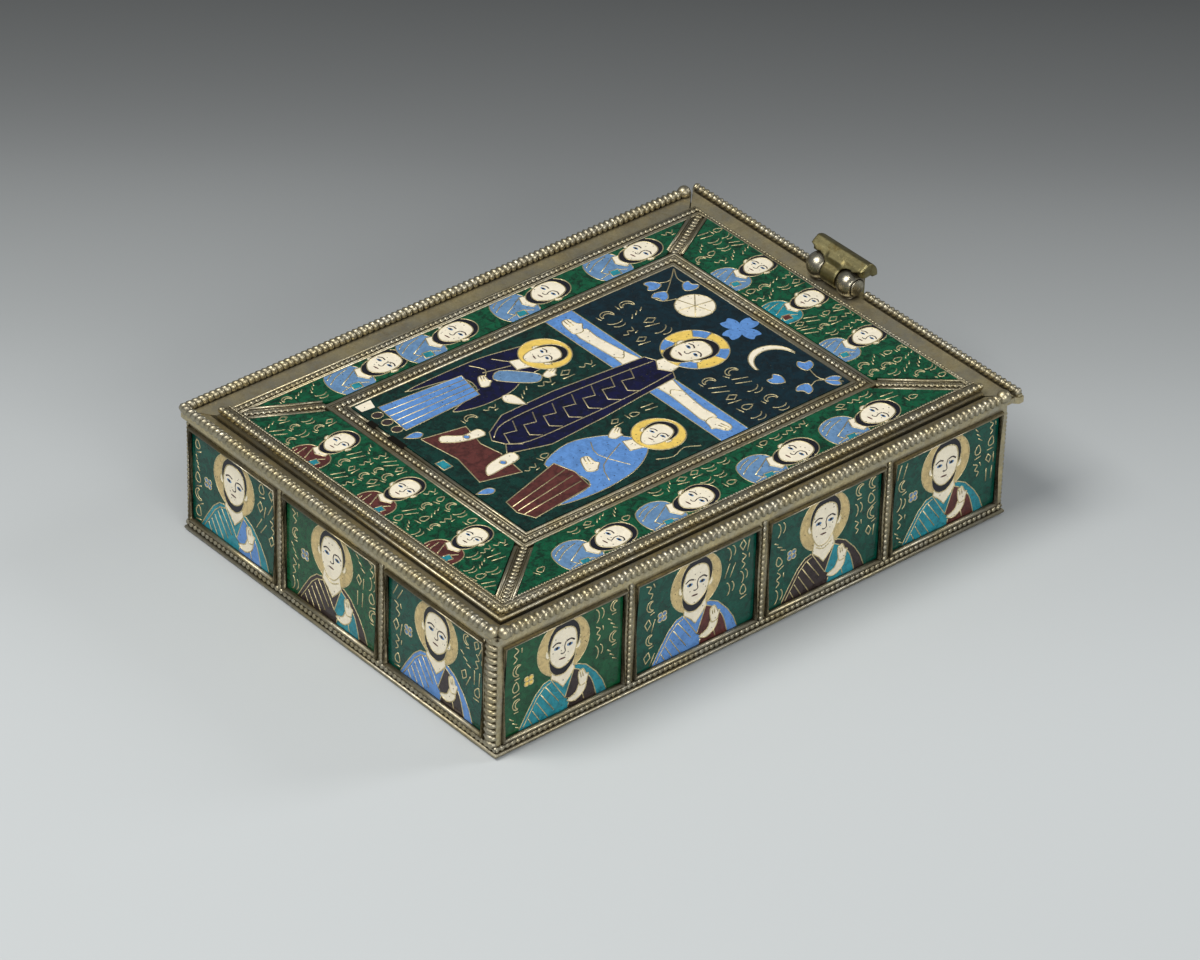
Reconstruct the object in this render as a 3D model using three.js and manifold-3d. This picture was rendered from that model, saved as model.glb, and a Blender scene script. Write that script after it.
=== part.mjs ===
// A small reliquary casket of gilded silver with cloisonne enamel plaques.
// The hollow box stands on its flat underside. Rails along its front, left and back sides hold a
// lid that slides out to the right, along +X. The lid's right end strip closes the rim, and carries
// a small hinge with a brass leaf that hangs over the end wall.
// Millimetres, +Z up, origin at the middle of the underside.

import * as THREE from "three";
import { mergeVertices } from "three/addons/utils/BufferGeometryUtils.js";
import Module from "manifold-3d";

const wasm = await Module();
wasm.setup();

// Box: overall sizes are over the beads of the rim
const CASKET_LENGTH = 96.1;
const CASKET_WIDTH = 71;
const FLOOR = 1.2;
const SHEET = 0.7;
const FRAME_DEPTH = 0.65;
const WALL_HEIGHT = 18.8;
const RIM_OVERHANG = 1.25;

// Rails, which keep the lid down, and the ledge, which it rests on
const RAIL_THICKNESS = 1.25;
const RAIL_LIP = 0.3;
const RAIL_SLOPE = 0.4;
const RAIL_WIDTH = 2.25;
const BACK_RAIL_WIDTH = 3.3;
const FASCIA_DEPTH = 0.65;
const FASCIA_HEIGHT = 0.75;
const LEDGE_WIDTH = 1.6;
const LEDGE_THICKNESS = 0.8;

// Lid
const FLANGE = 1.2;
const SLIDE_CLEARANCE = 0.3;
const LID_LIFT = 0.2;
const LID_GAP = 0.4;
const LID_RISE = 2.05;
const END_STRIP_WIDTH = 4.65;
const END_STRIP_OVERHANG = 0.9;
const TIP_INSET = 0.2;
const MITRE_GAP = 0.25;

// Enamel plaques and the strips between them on the lid
const PLAQUE = 0.5;
const SETTING_GAP = 0.1;
const STRIP_HEIGHT = 0.6;
const BORDER_STRIP = 0.9;
const BACK_STRIP = 2.2;
const EDGE_BAND = 0.9;
const FRAME_STRIP = 2.8;
const MITRE_STRIP = 2.8;
const CENTRE_LENGTH = 59.6;
const CENTRE_WIDTH = 38.4;
const CENTRE_SHIFT_X = 1;
const CENTRE_SHIFT_Y = 0.7;

// Plaques on the walls
const WALL_PLAQUE = 0.45;
const PANEL_BOTTOM = 2.4;
const PANEL_TOP = 17.9;
const RIGHT_PANEL_TOP = 16.3;
const PANEL_SPACING = 2.2;
// The plaques are hand made, so along each side they differ a little in width.
const PANEL_SHARES = {
  front: [1, 1.04, 1, 0.96],
  right: [1, 1, 1],
  back: [1, 1, 1, 1],
  left: [0.96, 1.01, 1.03],
};
const CORNER_MARGIN = 1.2;
const LEFT_MARGIN = 0.7;
const COLUMN_MARGIN = 2.8;

// Beaded wires: width, height and the pitch of the beads
const RIM_BEAD = { width: 1.5, height: 1.5, pitch: 1.25 };
const LID_BEAD = { width: 1.3, height: 1.25, pitch: 1.2 };
const END_BEAD = { width: 1.3, height: 1.3, pitch: 1.25 };
const COLUMN_BEAD = { width: 2.4, height: 0.95, pitch: 1.05 };
const BEAD_TOP_SHARE = 0.55;
const BEAD_WAIST_SHARE = 0.7;
const SLIM_COLUMN = { width: 0.6, depth: 0.45 };
const SEPARATOR = { width: 1.1, depth: 0.45 };
const BASE_FOOT = 0.2;
const BASE_LOBE = 0.9;
const BASE_DEPTH = 0.5;

// Hinge on the end strip
const HINGE_SHIFT_Y = 2.7;
const HINGE_INSET = 1.05;
const LUG_RADIUS = 1.9;
const LUG_SPACING = 6.1;
const LUG_FOOT = 2.2;
const LUG_CUT = 0.15;
const BARREL_RADIUS = 1.75;
const BARREL_LENGTH = 3.2;
const PIN_RADIUS = 0.6;
const PIN_CLEARANCE = 0.08;
const PIN_HEAD_RADIUS = 1;
const PIN_HEAD = 0.45;
const LEAF = 1.1;
const LEAF_WIDTH = 11;
const LEAF_SHOULDER = 1.9;
const LEAF_FLARE = 1.6;
const LEAF_TONGUE_WIDTH = 6;
const LEAF_STOP_GAP = 0.3;
const LEAF_CREST = 3.2;
const LEAF_BEND = 1.5;
const LEAF_DROP = 11;
const ROUND_SIDES = 16;

const HALF_LENGTH = CASKET_LENGTH / 2;
const HALF_WIDTH = CASKET_WIDTH / 2;
const RAIL_SEAT = WALL_HEIGHT + RAIL_THICKNESS;
const RIM_SEAT_WIDTH = RIM_BEAD.width;
const FACE_INSET = RIM_OVERHANG;
const INNER_INSET = FACE_INSET + FRAME_DEPTH + SHEET;
const FLANGE_INSET = INNER_INSET + SLIDE_CLEARANCE;
const FLANGE_TOP = WALL_HEIGHT - LID_LIFT;
const FLANGE_BOTTOM = FLANGE_TOP - FLANGE;
const LEDGE_TOP = FLANGE_BOTTOM - LID_LIFT;
const LID_TOP = FLANGE_TOP + LID_RISE;
const FACE_X = HALF_LENGTH - FACE_INSET;
const FACE_Y = HALF_WIDTH - FACE_INSET;

const SILVER_GILT = { color: 0xa8996f, roughness: 0.34, metalness: 1 };
const SILVER = { color: 0xb9b4a6, roughness: 0.28, metalness: 1 };
const BRASS = { color: 0x9a8648, roughness: 0.42, metalness: 1 };
const GREEN_ENAMEL = { color: 0x0c4a36, roughness: 0.18, metalness: 0 };

const BIG = 200;

function solidOf(geometry) {
  const bare = geometry.index ? geometry.toNonIndexed() : geometry.clone();
  bare.deleteAttribute("normal");
  bare.deleteAttribute("uv");
  const merged = mergeVertices(bare, 1e-4);
  return new wasm.Manifold(
    new wasm.Mesh({
      numProp: 3,
      vertProperties: new Float32Array(merged.attributes.position.array),
      triVerts: new Uint32Array(merged.index.array),
    }),
  );
}

function geometryOf(solid) {
  const mesh = solid.getMesh();
  const geometry = new THREE.BufferGeometry();
  geometry.setAttribute("position", new THREE.BufferAttribute(mesh.vertProperties, 3));
  geometry.setIndex(new THREE.BufferAttribute(mesh.triVerts, 1));
  const flat = geometry.toNonIndexed();
  flat.computeVertexNormals();
  return flat;
}

function united(solids) {
  return solids.reduce((whole, one) => whole.add(one));
}

function block([x0, x1], [y0, y1], [z0, z1]) {
  const box = new THREE.BoxGeometry(x1 - x0, y1 - y0, z1 - z0);
  box.translate((x0 + x1) / 2, (y0 + y1) / 2, (z0 + z1) / 2);
  return solidOf(box);
}

// An outline in plan, from one height to another.
function prism(outline, z0, z1) {
  const shape = new THREE.Shape(outline.map(([x, y]) => new THREE.Vector2(x, y)));
  const raised = new THREE.ExtrudeGeometry(shape, { depth: z1 - z0, bevelEnabled: false });
  raised.translate(0, 0, z0);
  return solidOf(raised);
}

// The four sides of the casket: its half size across, and how far along it reaches.
const SIDES = {
  front: { across: HALF_WIDTH, along: HALF_LENGTH, turn: 0 },
  right: { across: HALF_LENGTH, along: HALF_WIDTH, turn: Math.PI / 2 },
  back: { across: HALF_WIDTH, along: HALF_LENGTH, turn: Math.PI },
  left: { across: HALF_LENGTH, along: HALF_WIDTH, turn: -Math.PI / 2 },
};

// A profile of [inset, z] points run along one side. Its ends are mitred at the corners.
function mouldingAlong(side, profile, mitreGap = 0) {
  const { across, along, turn } = SIDES[side];
  const reach = along + across;
  const shape = new THREE.Shape(profile.map(([inset, z]) => new THREE.Vector2(inset, z)));
  const bar = new THREE.ExtrudeGeometry(shape, { depth: 2 * reach, bevelEnabled: false });
  // The extrusion's x, y and z become the inset, the height and the way along the side.
  const toFront = new THREE.Matrix4().set(0, 0, 1, -reach, 1, 0, 0, -across, 0, 1, 0, 0, 0, 0, 0, 1);
  bar.applyMatrix4(toFront);
  const wedge = prism(
    [
      [-along - across + mitreGap, -2 * across],
      [along + across - mitreGap, -2 * across],
      [along - across - mitreGap + across, -across],
      [along - across - mitreGap + across / 2, -across / 2],
      [-along + across + mitreGap - across / 2, -across / 2],
      [-along + mitreGap, -across],
    ],
    -BIG,
    BIG,
  );
  const mitred = solidOf(bar).intersect(wedge);
  return mitred.rotate([0, 0, THREE.MathUtils.radToDeg(turn)]);
}

function rectangle(x0, x1, y0, y1) {
  return [[x0, y0], [x1, y0], [x1, y1], [x0, y1]];
}

function mesh(name, solid, finish) {
  const made = new THREE.Mesh(geometryOf(solid), new THREE.MeshStandardMaterial(finish));
  made.name = name;
  return made;
}

// A half round wire with beads, lying on a surface. Its cross-section has a flat foot of full width
// and a narrower top, and shrinks between the beads. The path has mitred corners.
function beadedWire(path, up, bead) {
  const rings = [];
  const offsets = path.map((point, i) => {
    const before = point.clone().sub(path[Math.max(i - 1, 0)]).normalize();
    const after = path[Math.min(i + 1, path.length - 1)].clone().sub(point).normalize();
    const sideBefore = new THREE.Vector3().crossVectors(up, before);
    const sideAfter = new THREE.Vector3().crossVectors(up, after);
    if (i === 0) return sideAfter;
    if (i === path.length - 1) return sideBefore;
    const mitre = sideBefore.clone().add(sideAfter).normalize();
    return mitre.divideScalar(mitre.dot(sideAfter));
  });
  for (let leg = 0; leg < path.length - 1; leg++) {
    const start = path[leg];
    const way = path[leg + 1].clone().sub(start);
    const straight = new THREE.Vector3().crossVectors(up, way.clone().normalize());
    const beads = Math.max(2, Math.round(way.length() / bead.pitch));
    for (let step = 0; step <= 2 * beads; step++) {
      if (step === 0 && leg > 0) continue;
      const atEnd = step === 0 || step === 2 * beads;
      const share = step % 2 ? 1 : BEAD_WAIST_SHARE;
      const across = atEnd ? offsets[step ? leg + 1 : leg] : straight;
      const foot = start.clone().addScaledVector(way, step / (2 * beads));
      const top = foot.clone().addScaledVector(up, bead.height * share);
      const half = (bead.width / 2) * share;
      rings.push([
        foot.clone().addScaledVector(across, -half),
        foot.clone().addScaledVector(across, half),
        top.clone().addScaledVector(across, half * BEAD_TOP_SHARE),
        top.clone().addScaledVector(across, -half * BEAD_TOP_SHARE),
      ]);
    }
  }
  const corners = rings[0].length;
  const index = [0, 1, 2, 0, 2, 3];
  const last = (rings.length - 1) * corners;
  index.push(last, last + 2, last + 1, last, last + 3, last + 2);
  for (let r = 0; r < rings.length - 1; r++) {
    for (let c = 0; c < corners; c++) {
      const a = r * corners + c;
      const b = r * corners + ((c + 1) % corners);
      index.push(a, a + corners, b, b, a + corners, b + corners);
    }
  }
  const geometry = new THREE.BufferGeometry().setFromPoints(rings.flat());
  geometry.setIndex(index);
  const wire = solidOf(geometry);
  if (wire.volume() > 0) return wire;
  geometry.setIndex(index.slice().reverse());
  return solidOf(geometry);
}

const UP = new THREE.Vector3(0, 0, 1);
const at = (x, y, z) => new THREE.Vector3(x, y, z);

function railProfile(width) {
  const outer = FACE_INSET - FASCIA_DEPTH;
  const inner = FACE_INSET + width;
  return [
    [outer, RAIL_SEAT - FASCIA_HEIGHT],
    [FACE_INSET, RAIL_SEAT - FASCIA_HEIGHT],
    [FACE_INSET, WALL_HEIGHT],
    [inner, WALL_HEIGHT],
    [inner, RAIL_SEAT + RAIL_LIP - RAIL_SLOPE],
    [RIM_SEAT_WIDTH, RAIL_SEAT + RAIL_LIP],
    [RIM_SEAT_WIDTH, RAIL_SEAT],
    [outer, RAIL_SEAT],
  ];
}

// Panels along one side: the middle and width of each, from its left end, seen from outside.
function panelSpots(half, shares, startMargin, endMargin) {
  const sum = shares.reduce((total, share) => total + share);
  const room = 2 * half - startMargin - endMargin - (shares.length - 1) * PANEL_SPACING;
  let start = -half + startMargin;
  return shares.map((share) => {
    const width = (room * share) / sum;
    const middle = start + width / 2;
    start += width + PANEL_SPACING;
    return { middle, width };
  });
}

// On the left face the broad bead column stands at the front corner.
const PANELS = {
  front: panelSpots(FACE_X, PANEL_SHARES.front, CORNER_MARGIN, CORNER_MARGIN),
  right: panelSpots(FACE_Y, PANEL_SHARES.right, CORNER_MARGIN, CORNER_MARGIN),
  back: panelSpots(FACE_X, PANEL_SHARES.back, CORNER_MARGIN, CORNER_MARGIN),
  left: panelSpots(FACE_Y, PANEL_SHARES.left, LEFT_MARGIN, COLUMN_MARGIN),
};

// The right wall is lower, because the lid slides out over it.
const panelTop = (side) => (side === "right" ? RIGHT_PANEL_TOP : PANEL_TOP);
const columnHead = (side) => (side === "right" ? LEDGE_TOP : RAIL_SEAT - FASCIA_HEIGHT);

// A block on the outside of one side, from one depth behind the face to another in front of it.
function onFace(side, [along0, along1], [depth0, depth1], [z0, z1]) {
  const { across, turn } = SIDES[side];
  const face = -across + FACE_INSET;
  return block([along0, along1], [face - depth1, face - depth0], [z0, z1]).rotate([
    0,
    0,
    THREE.MathUtils.radToDeg(turn),
  ]);
}

function boxBody() {
  const inX = HALF_LENGTH - INNER_INSET;
  const inY = HALF_WIDTH - INNER_INSET;
  const outside = block([-FACE_X, FACE_X], [-FACE_Y, FACE_Y], [0, WALL_HEIGHT]);
  const inside = block([-inX, inX], [-inY, inY], [FLOOR, BIG]);
  const endOpening = block([0, BIG], [-inY, inY], [LEDGE_TOP, BIG]);
  const ledge = [
    [INNER_INSET, LEDGE_TOP - LEDGE_THICKNESS],
    [INNER_INSET + LEDGE_WIDTH, LEDGE_TOP - LEDGE_THICKNESS],
    [INNER_INSET + LEDGE_WIDTH, LEDGE_TOP],
    [INNER_INSET, LEDGE_TOP],
  ];
  const shell = united([
    outside.subtract(inside).subtract(endOpening),
    mouldingAlong("front", ledge),
    mouldingAlong("left", ledge),
    mouldingAlong("back", ledge),
    mouldingAlong("front", railProfile(RAIL_WIDTH)),
    mouldingAlong("left", railProfile(RAIL_WIDTH)),
    mouldingAlong("back", railProfile(BACK_RAIL_WIDTH)),
  ]);
  const windows = Object.entries(PANELS).flatMap(([side, spots]) =>
    spots.map(({ middle, width }) =>
      onFace(
        side,
        [middle - width / 2, middle + width / 2],
        [-FRAME_DEPTH, 1],
        [PANEL_BOTTOM, panelTop(side)],
      ),
    ),
  );
  return shell.subtract(united(windows));
}

function wallPlaques() {
  return Object.entries(PANELS).flatMap(([side, spots]) =>
    spots.map(({ middle, width }, i) => {
      const half = width / 2 - SETTING_GAP;
      const solid = onFace(
        side,
        [middle - half, middle + half],
        [-FRAME_DEPTH, WALL_PLAQUE - FRAME_DEPTH],
        [PANEL_BOTTOM + SETTING_GAP, panelTop(side) - SETTING_GAP],
      );
      return mesh(`plaque_${side}_${i + 1}`, solid, GREEN_ENAMEL);
    }),
  );
}

const COLUMN_FOOT = BASE_FOOT + 2 * BASE_LOBE;

function separators() {
  return Object.entries(PANELS).flatMap(([side, spots]) =>
    spots.slice(1).map(({ middle, width }, i) => {
      const along = middle - width / 2 - PANEL_SPACING / 2;
      const half = SEPARATOR.width / 2;
      const solid = onFace(
        side,
        [along - half, along + half],
        [0, SEPARATOR.depth],
        [COLUMN_FOOT, columnHead(side)],
      );
      return mesh(`separator_${side}_${i + 1}`, solid, SILVER_GILT);
    }),
  );
}

function slimColumn(side, end) {
  const { along } = SIDES[side];
  const edge = along - FACE_INSET;
  const span = end > 0 ? [edge - SLIM_COLUMN.width, edge] : [-edge, -edge + SLIM_COLUMN.width];
  return onFace(side, span, [0, SLIM_COLUMN.depth], [COLUMN_FOOT, columnHead(side)]);
}

function cornerColumns() {
  const y = -FACE_Y + COLUMN_MARGIN / 2;
  const beads = beadedWire(
    [at(-FACE_X, y, COLUMN_FOOT), at(-FACE_X, y, columnHead("left"))],
    at(-1, 0, 0),
    COLUMN_BEAD,
  );
  return [
    mesh("corner_column_front_left", beads, SILVER_GILT),
    mesh("corner_column_back_left", slimColumn("left", -1), SILVER_GILT),
    mesh("corner_column_front_right", slimColumn("right", -1), SILVER_GILT),
    mesh("corner_column_back_right", slimColumn("right", 1), SILVER_GILT),
  ];
}

function baseMoulding() {
  const profile = [[FACE_INSET, BASE_FOOT]];
  for (const lobe of [0, 1]) {
    const foot = BASE_FOOT + lobe * BASE_LOBE;
    profile.push([FACE_INSET - BASE_DEPTH / 2, foot]);
    profile.push([FACE_INSET - BASE_DEPTH, foot + BASE_LOBE * 0.3]);
    profile.push([FACE_INSET - BASE_DEPTH, foot + BASE_LOBE * 0.7]);
  }
  profile.push([FACE_INSET - BASE_DEPTH / 2, COLUMN_FOOT]);
  profile.push([FACE_INSET, COLUMN_FOOT]);
  const ring = united(Object.keys(SIDES).map((side) => mouldingAlong(side, profile.toReversed())));
  return mesh("base_moulding", ring, SILVER_GILT);
}

function rimWire() {
  const x = HALF_LENGTH - RIM_BEAD.width / 2;
  const y = HALF_WIDTH - RIM_BEAD.width / 2;
  const end = HALF_LENGTH - RIM_BEAD.width;
  const path = [
    at(end, -y, RAIL_SEAT),
    at(-x, -y, RAIL_SEAT),
    at(-x, y, RAIL_SEAT),
    at(end, y, RAIL_SEAT),
  ];
  return mesh("rim_wire", beadedWire(path, UP, RIM_BEAD), SILVER_GILT);
}

// Lid: the raised panel inside the rails, and where its plaques lie
const PANEL = {
  x0: -HALF_LENGTH + FACE_INSET + RAIL_WIDTH + LID_GAP,
  x1: HALF_LENGTH + END_STRIP_OVERHANG - END_STRIP_WIDTH,
  y0: -HALF_WIDTH + FACE_INSET + RAIL_WIDTH + LID_GAP,
  y1: HALF_WIDTH - FACE_INSET - BACK_RAIL_WIDTH - LID_GAP,
};
const FIELD = {
  x0: PANEL.x0 + LID_BEAD.width + EDGE_BAND,
  x1: PANEL.x1 - BORDER_STRIP - SETTING_GAP,
  y0: PANEL.y0 + LID_BEAD.width + EDGE_BAND,
  y1: PANEL.y1 - BACK_STRIP - SETTING_GAP,
};
const CENTRE = {
  x0: CENTRE_SHIFT_X - CENTRE_LENGTH / 2,
  x1: CENTRE_SHIFT_X + CENTRE_LENGTH / 2,
  y0: CENTRE_SHIFT_Y - CENTRE_WIDTH / 2,
  y1: CENTRE_SHIFT_Y + CENTRE_WIDTH / 2,
};

function grown({ x0, x1, y0, y1 }, by) {
  return rectangle(x0 - by, x1 + by, y0 - by, y1 + by);
}

function lidPlate() {
  const flangeX = HALF_LENGTH - FLANGE_INSET;
  const flangeY = HALF_WIDTH - FLANGE_INSET;
  const flange = block([-flangeX, FACE_X], [-flangeY, flangeY], [FLANGE_BOTTOM, FLANGE_TOP]);
  const panel = prism(grown(PANEL, 0), FLANGE_TOP - LID_LIFT, LID_TOP);
  const outer = -END_STRIP_OVERHANG;
  const inner = outer + END_STRIP_WIDTH;
  const seat = outer + RIM_SEAT_WIDTH;
  const strip = mouldingAlong(
    "right",
    [
      [outer, WALL_HEIGHT + LID_LIFT],
      [inner, WALL_HEIGHT + LID_LIFT],
      [inner, RAIL_SEAT + RAIL_LIP - RAIL_SLOPE],
      [seat, RAIL_SEAT + RAIL_LIP],
      [seat, RAIL_SEAT],
      [outer, RAIL_SEAT],
    ],
    MITRE_GAP,
  ).intersect(block([0, BIG], [-HALF_WIDTH + TIP_INSET, HALF_WIDTH - TIP_INSET], [0, BIG]));
  // A root under the strip joins it to the flange, between the ends of the rails.
  const root = mouldingAlong(
    "right",
    [
      [FACE_INSET, FLANGE_BOTTOM],
      [inner + LID_GAP, FLANGE_BOTTOM],
      [inner + LID_GAP, RAIL_SEAT - RAIL_SLOPE],
      [FACE_INSET, RAIL_SEAT - RAIL_SLOPE],
    ],
    MITRE_GAP,
  ).intersect(block([0, BIG], [-flangeY, flangeY], [0, BIG]));
  return united([flange, panel, strip, root]);
}

function lidWires() {
  const inset = LID_BEAD.width / 2;
  const path = [
    at(PANEL.x1, PANEL.y0 + inset, LID_TOP),
    at(PANEL.x0 + inset, PANEL.y0 + inset, LID_TOP),
    at(PANEL.x0 + inset, PANEL.y1, LID_TOP),
  ];
  return mesh("lid_border_wire", beadedWire(path, UP, LID_BEAD), SILVER_GILT);
}

// The low strip along the lid's back and right edges.
function lidBorderStrip() {
  const inset = LID_BEAD.width + SETTING_GAP;
  const outer = prism(
    rectangle(PANEL.x0 + inset, PANEL.x1, PANEL.y0 + inset, PANEL.y1),
    LID_TOP,
    LID_TOP + STRIP_HEIGHT,
  );
  const opening = block(
    [-BIG, PANEL.x1 - BORDER_STRIP],
    [-BIG, PANEL.y1 - BACK_STRIP],
    [0, BIG],
  );
  return outer.subtract(opening);
}

function centreFrame() {
  const outer = prism(grown(CENTRE, FRAME_STRIP), LID_TOP, LID_TOP + STRIP_HEIGHT);
  return outer.subtract(prism(grown(CENTRE, SETTING_GAP), 0, BIG));
}

// The four corners of the field of plaques, each with the frame's corner that a mitre strip runs to.
const CORNERS = [
  ["front_left", FIELD.x0, FIELD.y0, CENTRE.x0 - FRAME_STRIP, CENTRE.y0 - FRAME_STRIP],
  ["front_right", FIELD.x1, FIELD.y0, CENTRE.x1 + FRAME_STRIP, CENTRE.y0 - FRAME_STRIP],
  ["back_right", FIELD.x1, FIELD.y1, CENTRE.x1 + FRAME_STRIP, CENTRE.y1 + FRAME_STRIP],
  ["back_left", FIELD.x0, FIELD.y1, CENTRE.x0 - FRAME_STRIP, CENTRE.y1 + FRAME_STRIP],
];

// A bar from the field's corner towards the frame's corner, longer than it needs to be.
function mitreBar([, x0, y0, x1, y1], width) {
  const way = new THREE.Vector2(x1 - x0, y1 - y0).normalize();
  const half = new THREE.Vector2(-way.y, way.x).multiplyScalar(width / 2);
  const from = new THREE.Vector2(x0, y0).addScaledVector(way, -width * 2);
  const to = new THREE.Vector2(x1, y1).addScaledVector(way, FRAME_STRIP / 2);
  const outline = [
    [from.x - half.x, from.y - half.y],
    [to.x - half.x, to.y - half.y],
    [to.x + half.x, to.y + half.y],
    [from.x + half.x, from.y + half.y],
  ];
  return prism(outline, LID_TOP, LID_TOP + STRIP_HEIGHT);
}

const inField = () => prism(grown(FIELD, 0), 0, BIG);
const frameArea = () => prism(grown(CENTRE, FRAME_STRIP + SETTING_GAP), 0, BIG);

function mitreStrips() {
  return CORNERS.map((corner) =>
    mesh(
      `mitre_strip_${corner[0]}`,
      mitreBar(corner, MITRE_STRIP).intersect(inField()).subtract(frameArea()),
      SILVER_GILT,
    ),
  );
}

function lidPlaques() {
  const field = prism(grown(FIELD, 0), LID_TOP, LID_TOP + PLAQUE);
  const bars = united(CORNERS.map((corner) => mitreBar(corner, MITRE_STRIP + 2 * SETTING_GAP)));
  const pieces = field.subtract(frameArea()).subtract(bars).decompose();
  const sideOf = (solid) => {
    const { min, max } = solid.boundingBox();
    if (max[0] < CENTRE.x0) return "left";
    if (min[0] > CENTRE.x1) return "right";
    return max[1] < CENTRE.y0 ? "front" : "back";
  };
  const centre = prism(grown(CENTRE, 0), LID_TOP, LID_TOP + PLAQUE);
  return [
    mesh("lid_plaque_centre", centre, GREEN_ENAMEL),
    ...pieces.map((solid) => mesh(`lid_plaque_${sideOf(solid)}`, solid, GREEN_ENAMEL)),
  ];
}

// Hinge: its axis runs along Y, above the end strip
const HINGE_X = HALF_LENGTH - HINGE_INSET;
const HINGE_Z = RAIL_SEAT + LUG_CUT + LUG_RADIUS;
const LUG_Y = [HINGE_SHIFT_Y - LUG_SPACING / 2, HINGE_SHIFT_Y + LUG_SPACING / 2];
const BORE_RADIUS = PIN_RADIUS + PIN_CLEARANCE;
const LEAF_REACH = HINGE_INSET + END_STRIP_OVERHANG + LEAF_STOP_GAP + LEAF / 2;

function rod(radius, y0, y1) {
  const cylinder = new THREE.CylinderGeometry(radius, radius, y1 - y0, ROUND_SIDES);
  cylinder.translate(HINGE_X, (y0 + y1) / 2, HINGE_Z);
  // A cylinder stands along y, which is the hinge's own way.
  return solidOf(cylinder);
}

function hingeLugs(plate) {
  return LUG_Y.map((y, i) => {
    const ball = new THREE.SphereGeometry(LUG_RADIUS, ROUND_SIDES, ROUND_SIDES / 2);
    ball.rotateX(Math.PI / 2);
    ball.translate(HINGE_X, y, HINGE_Z);
    const half = LUG_FOOT / 2;
    const foot = block(
      [HINGE_X - half, HINGE_X + half],
      [y - half, y + half],
      [RAIL_SEAT - RAIL_LIP, HINGE_Z],
    );
    const inside = y > HINGE_SHIFT_Y ? -1 : 1;
    const trimmed = y + inside * (LUG_SPACING / 2 - BARREL_LENGTH / 2 - PIN_CLEARANCE);
    const barrelRoom = block(
      [-BIG, BIG],
      inside > 0 ? [trimmed, HINGE_SHIFT_Y] : [HINGE_SHIFT_Y, trimmed],
      [0, BIG],
    );
    const bore = rod(BORE_RADIUS, y - 2 * LUG_RADIUS, y + 2 * LUG_RADIUS);
    const lug = solidOf(ball).add(foot).subtract(barrelRoom).subtract(plate).subtract(bore);
    return mesh(`hinge_lug_${i ? "back" : "front"}`, lug, SILVER);
  });
}

function hingePin() {
  const end = LUG_SPACING / 2 + LUG_RADIUS + PIN_CLEARANCE;
  const shank = rod(PIN_RADIUS, HINGE_SHIFT_Y - end, HINGE_SHIFT_Y + end);
  const heads = [-1, 1].map((way) => {
    const inner = HINGE_SHIFT_Y + way * end;
    const outer = inner + way * PIN_HEAD;
    return rod(PIN_HEAD_RADIUS, Math.min(inner, outer), Math.max(inner, outer));
  });
  return mesh("hinge_pin", united([shank, ...heads]), SILVER);
}

// The leaf's middle line, as [outward, up] from the hinge axis: it rises from the barrel's top, turns
// over a crest and hangs straight down just clear of the end strip.
function leafLine() {
  const rise = new THREE.CubicBezierCurve(
    new THREE.Vector2(0, BARREL_RADIUS - LEAF / 2),
    new THREE.Vector2(0, LEAF_CREST * 0.75),
    new THREE.Vector2(LEAF_REACH * 0.1, LEAF_CREST),
    new THREE.Vector2(LEAF_REACH - LEAF_BEND, LEAF_CREST),
  );
  const turnDown = new THREE.EllipseCurve(
    LEAF_REACH - LEAF_BEND,
    LEAF_CREST - LEAF_BEND,
    LEAF_BEND,
    LEAF_BEND,
    Math.PI / 2,
    0,
    true,
  );
  const risen = rise.getPoints(5);
  const turned = turnDown.getPoints(6).slice(1);
  return [...risen, ...turned, new THREE.Vector2(LEAF_REACH, -LEAF_DROP - LEAF)];
}

// The leaf line thickened to a closed outline, run across the hinge over the given width.
function leafBand(line, width) {
  const sides = line.map((point, i) => {
    const before = line[Math.max(i - 1, 0)];
    const after = line[Math.min(i + 1, line.length - 1)];
    const way = after.clone().sub(before).normalize();
    return [point, new THREE.Vector2(-way.y, way.x).multiplyScalar(LEAF / 2)];
  });
  const outline = [
    ...sides.map(([point, half]) => point.clone().add(half)),
    ...sides.map(([point, half]) => point.clone().sub(half)).reverse(),
  ];
  const shape = new THREE.Shape(outline);
  const band = new THREE.ExtrudeGeometry(shape, { depth: width, bevelEnabled: false });
  const place = new THREE.Matrix4().set(
    1, 0, 0, HINGE_X,
    0, 0, -1, HINGE_SHIFT_Y + width / 2,
    0, 1, 0, HINGE_Z,
    0, 0, 0, 1,
  );
  band.applyMatrix4(place);
  return solidOf(band);
}

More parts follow.
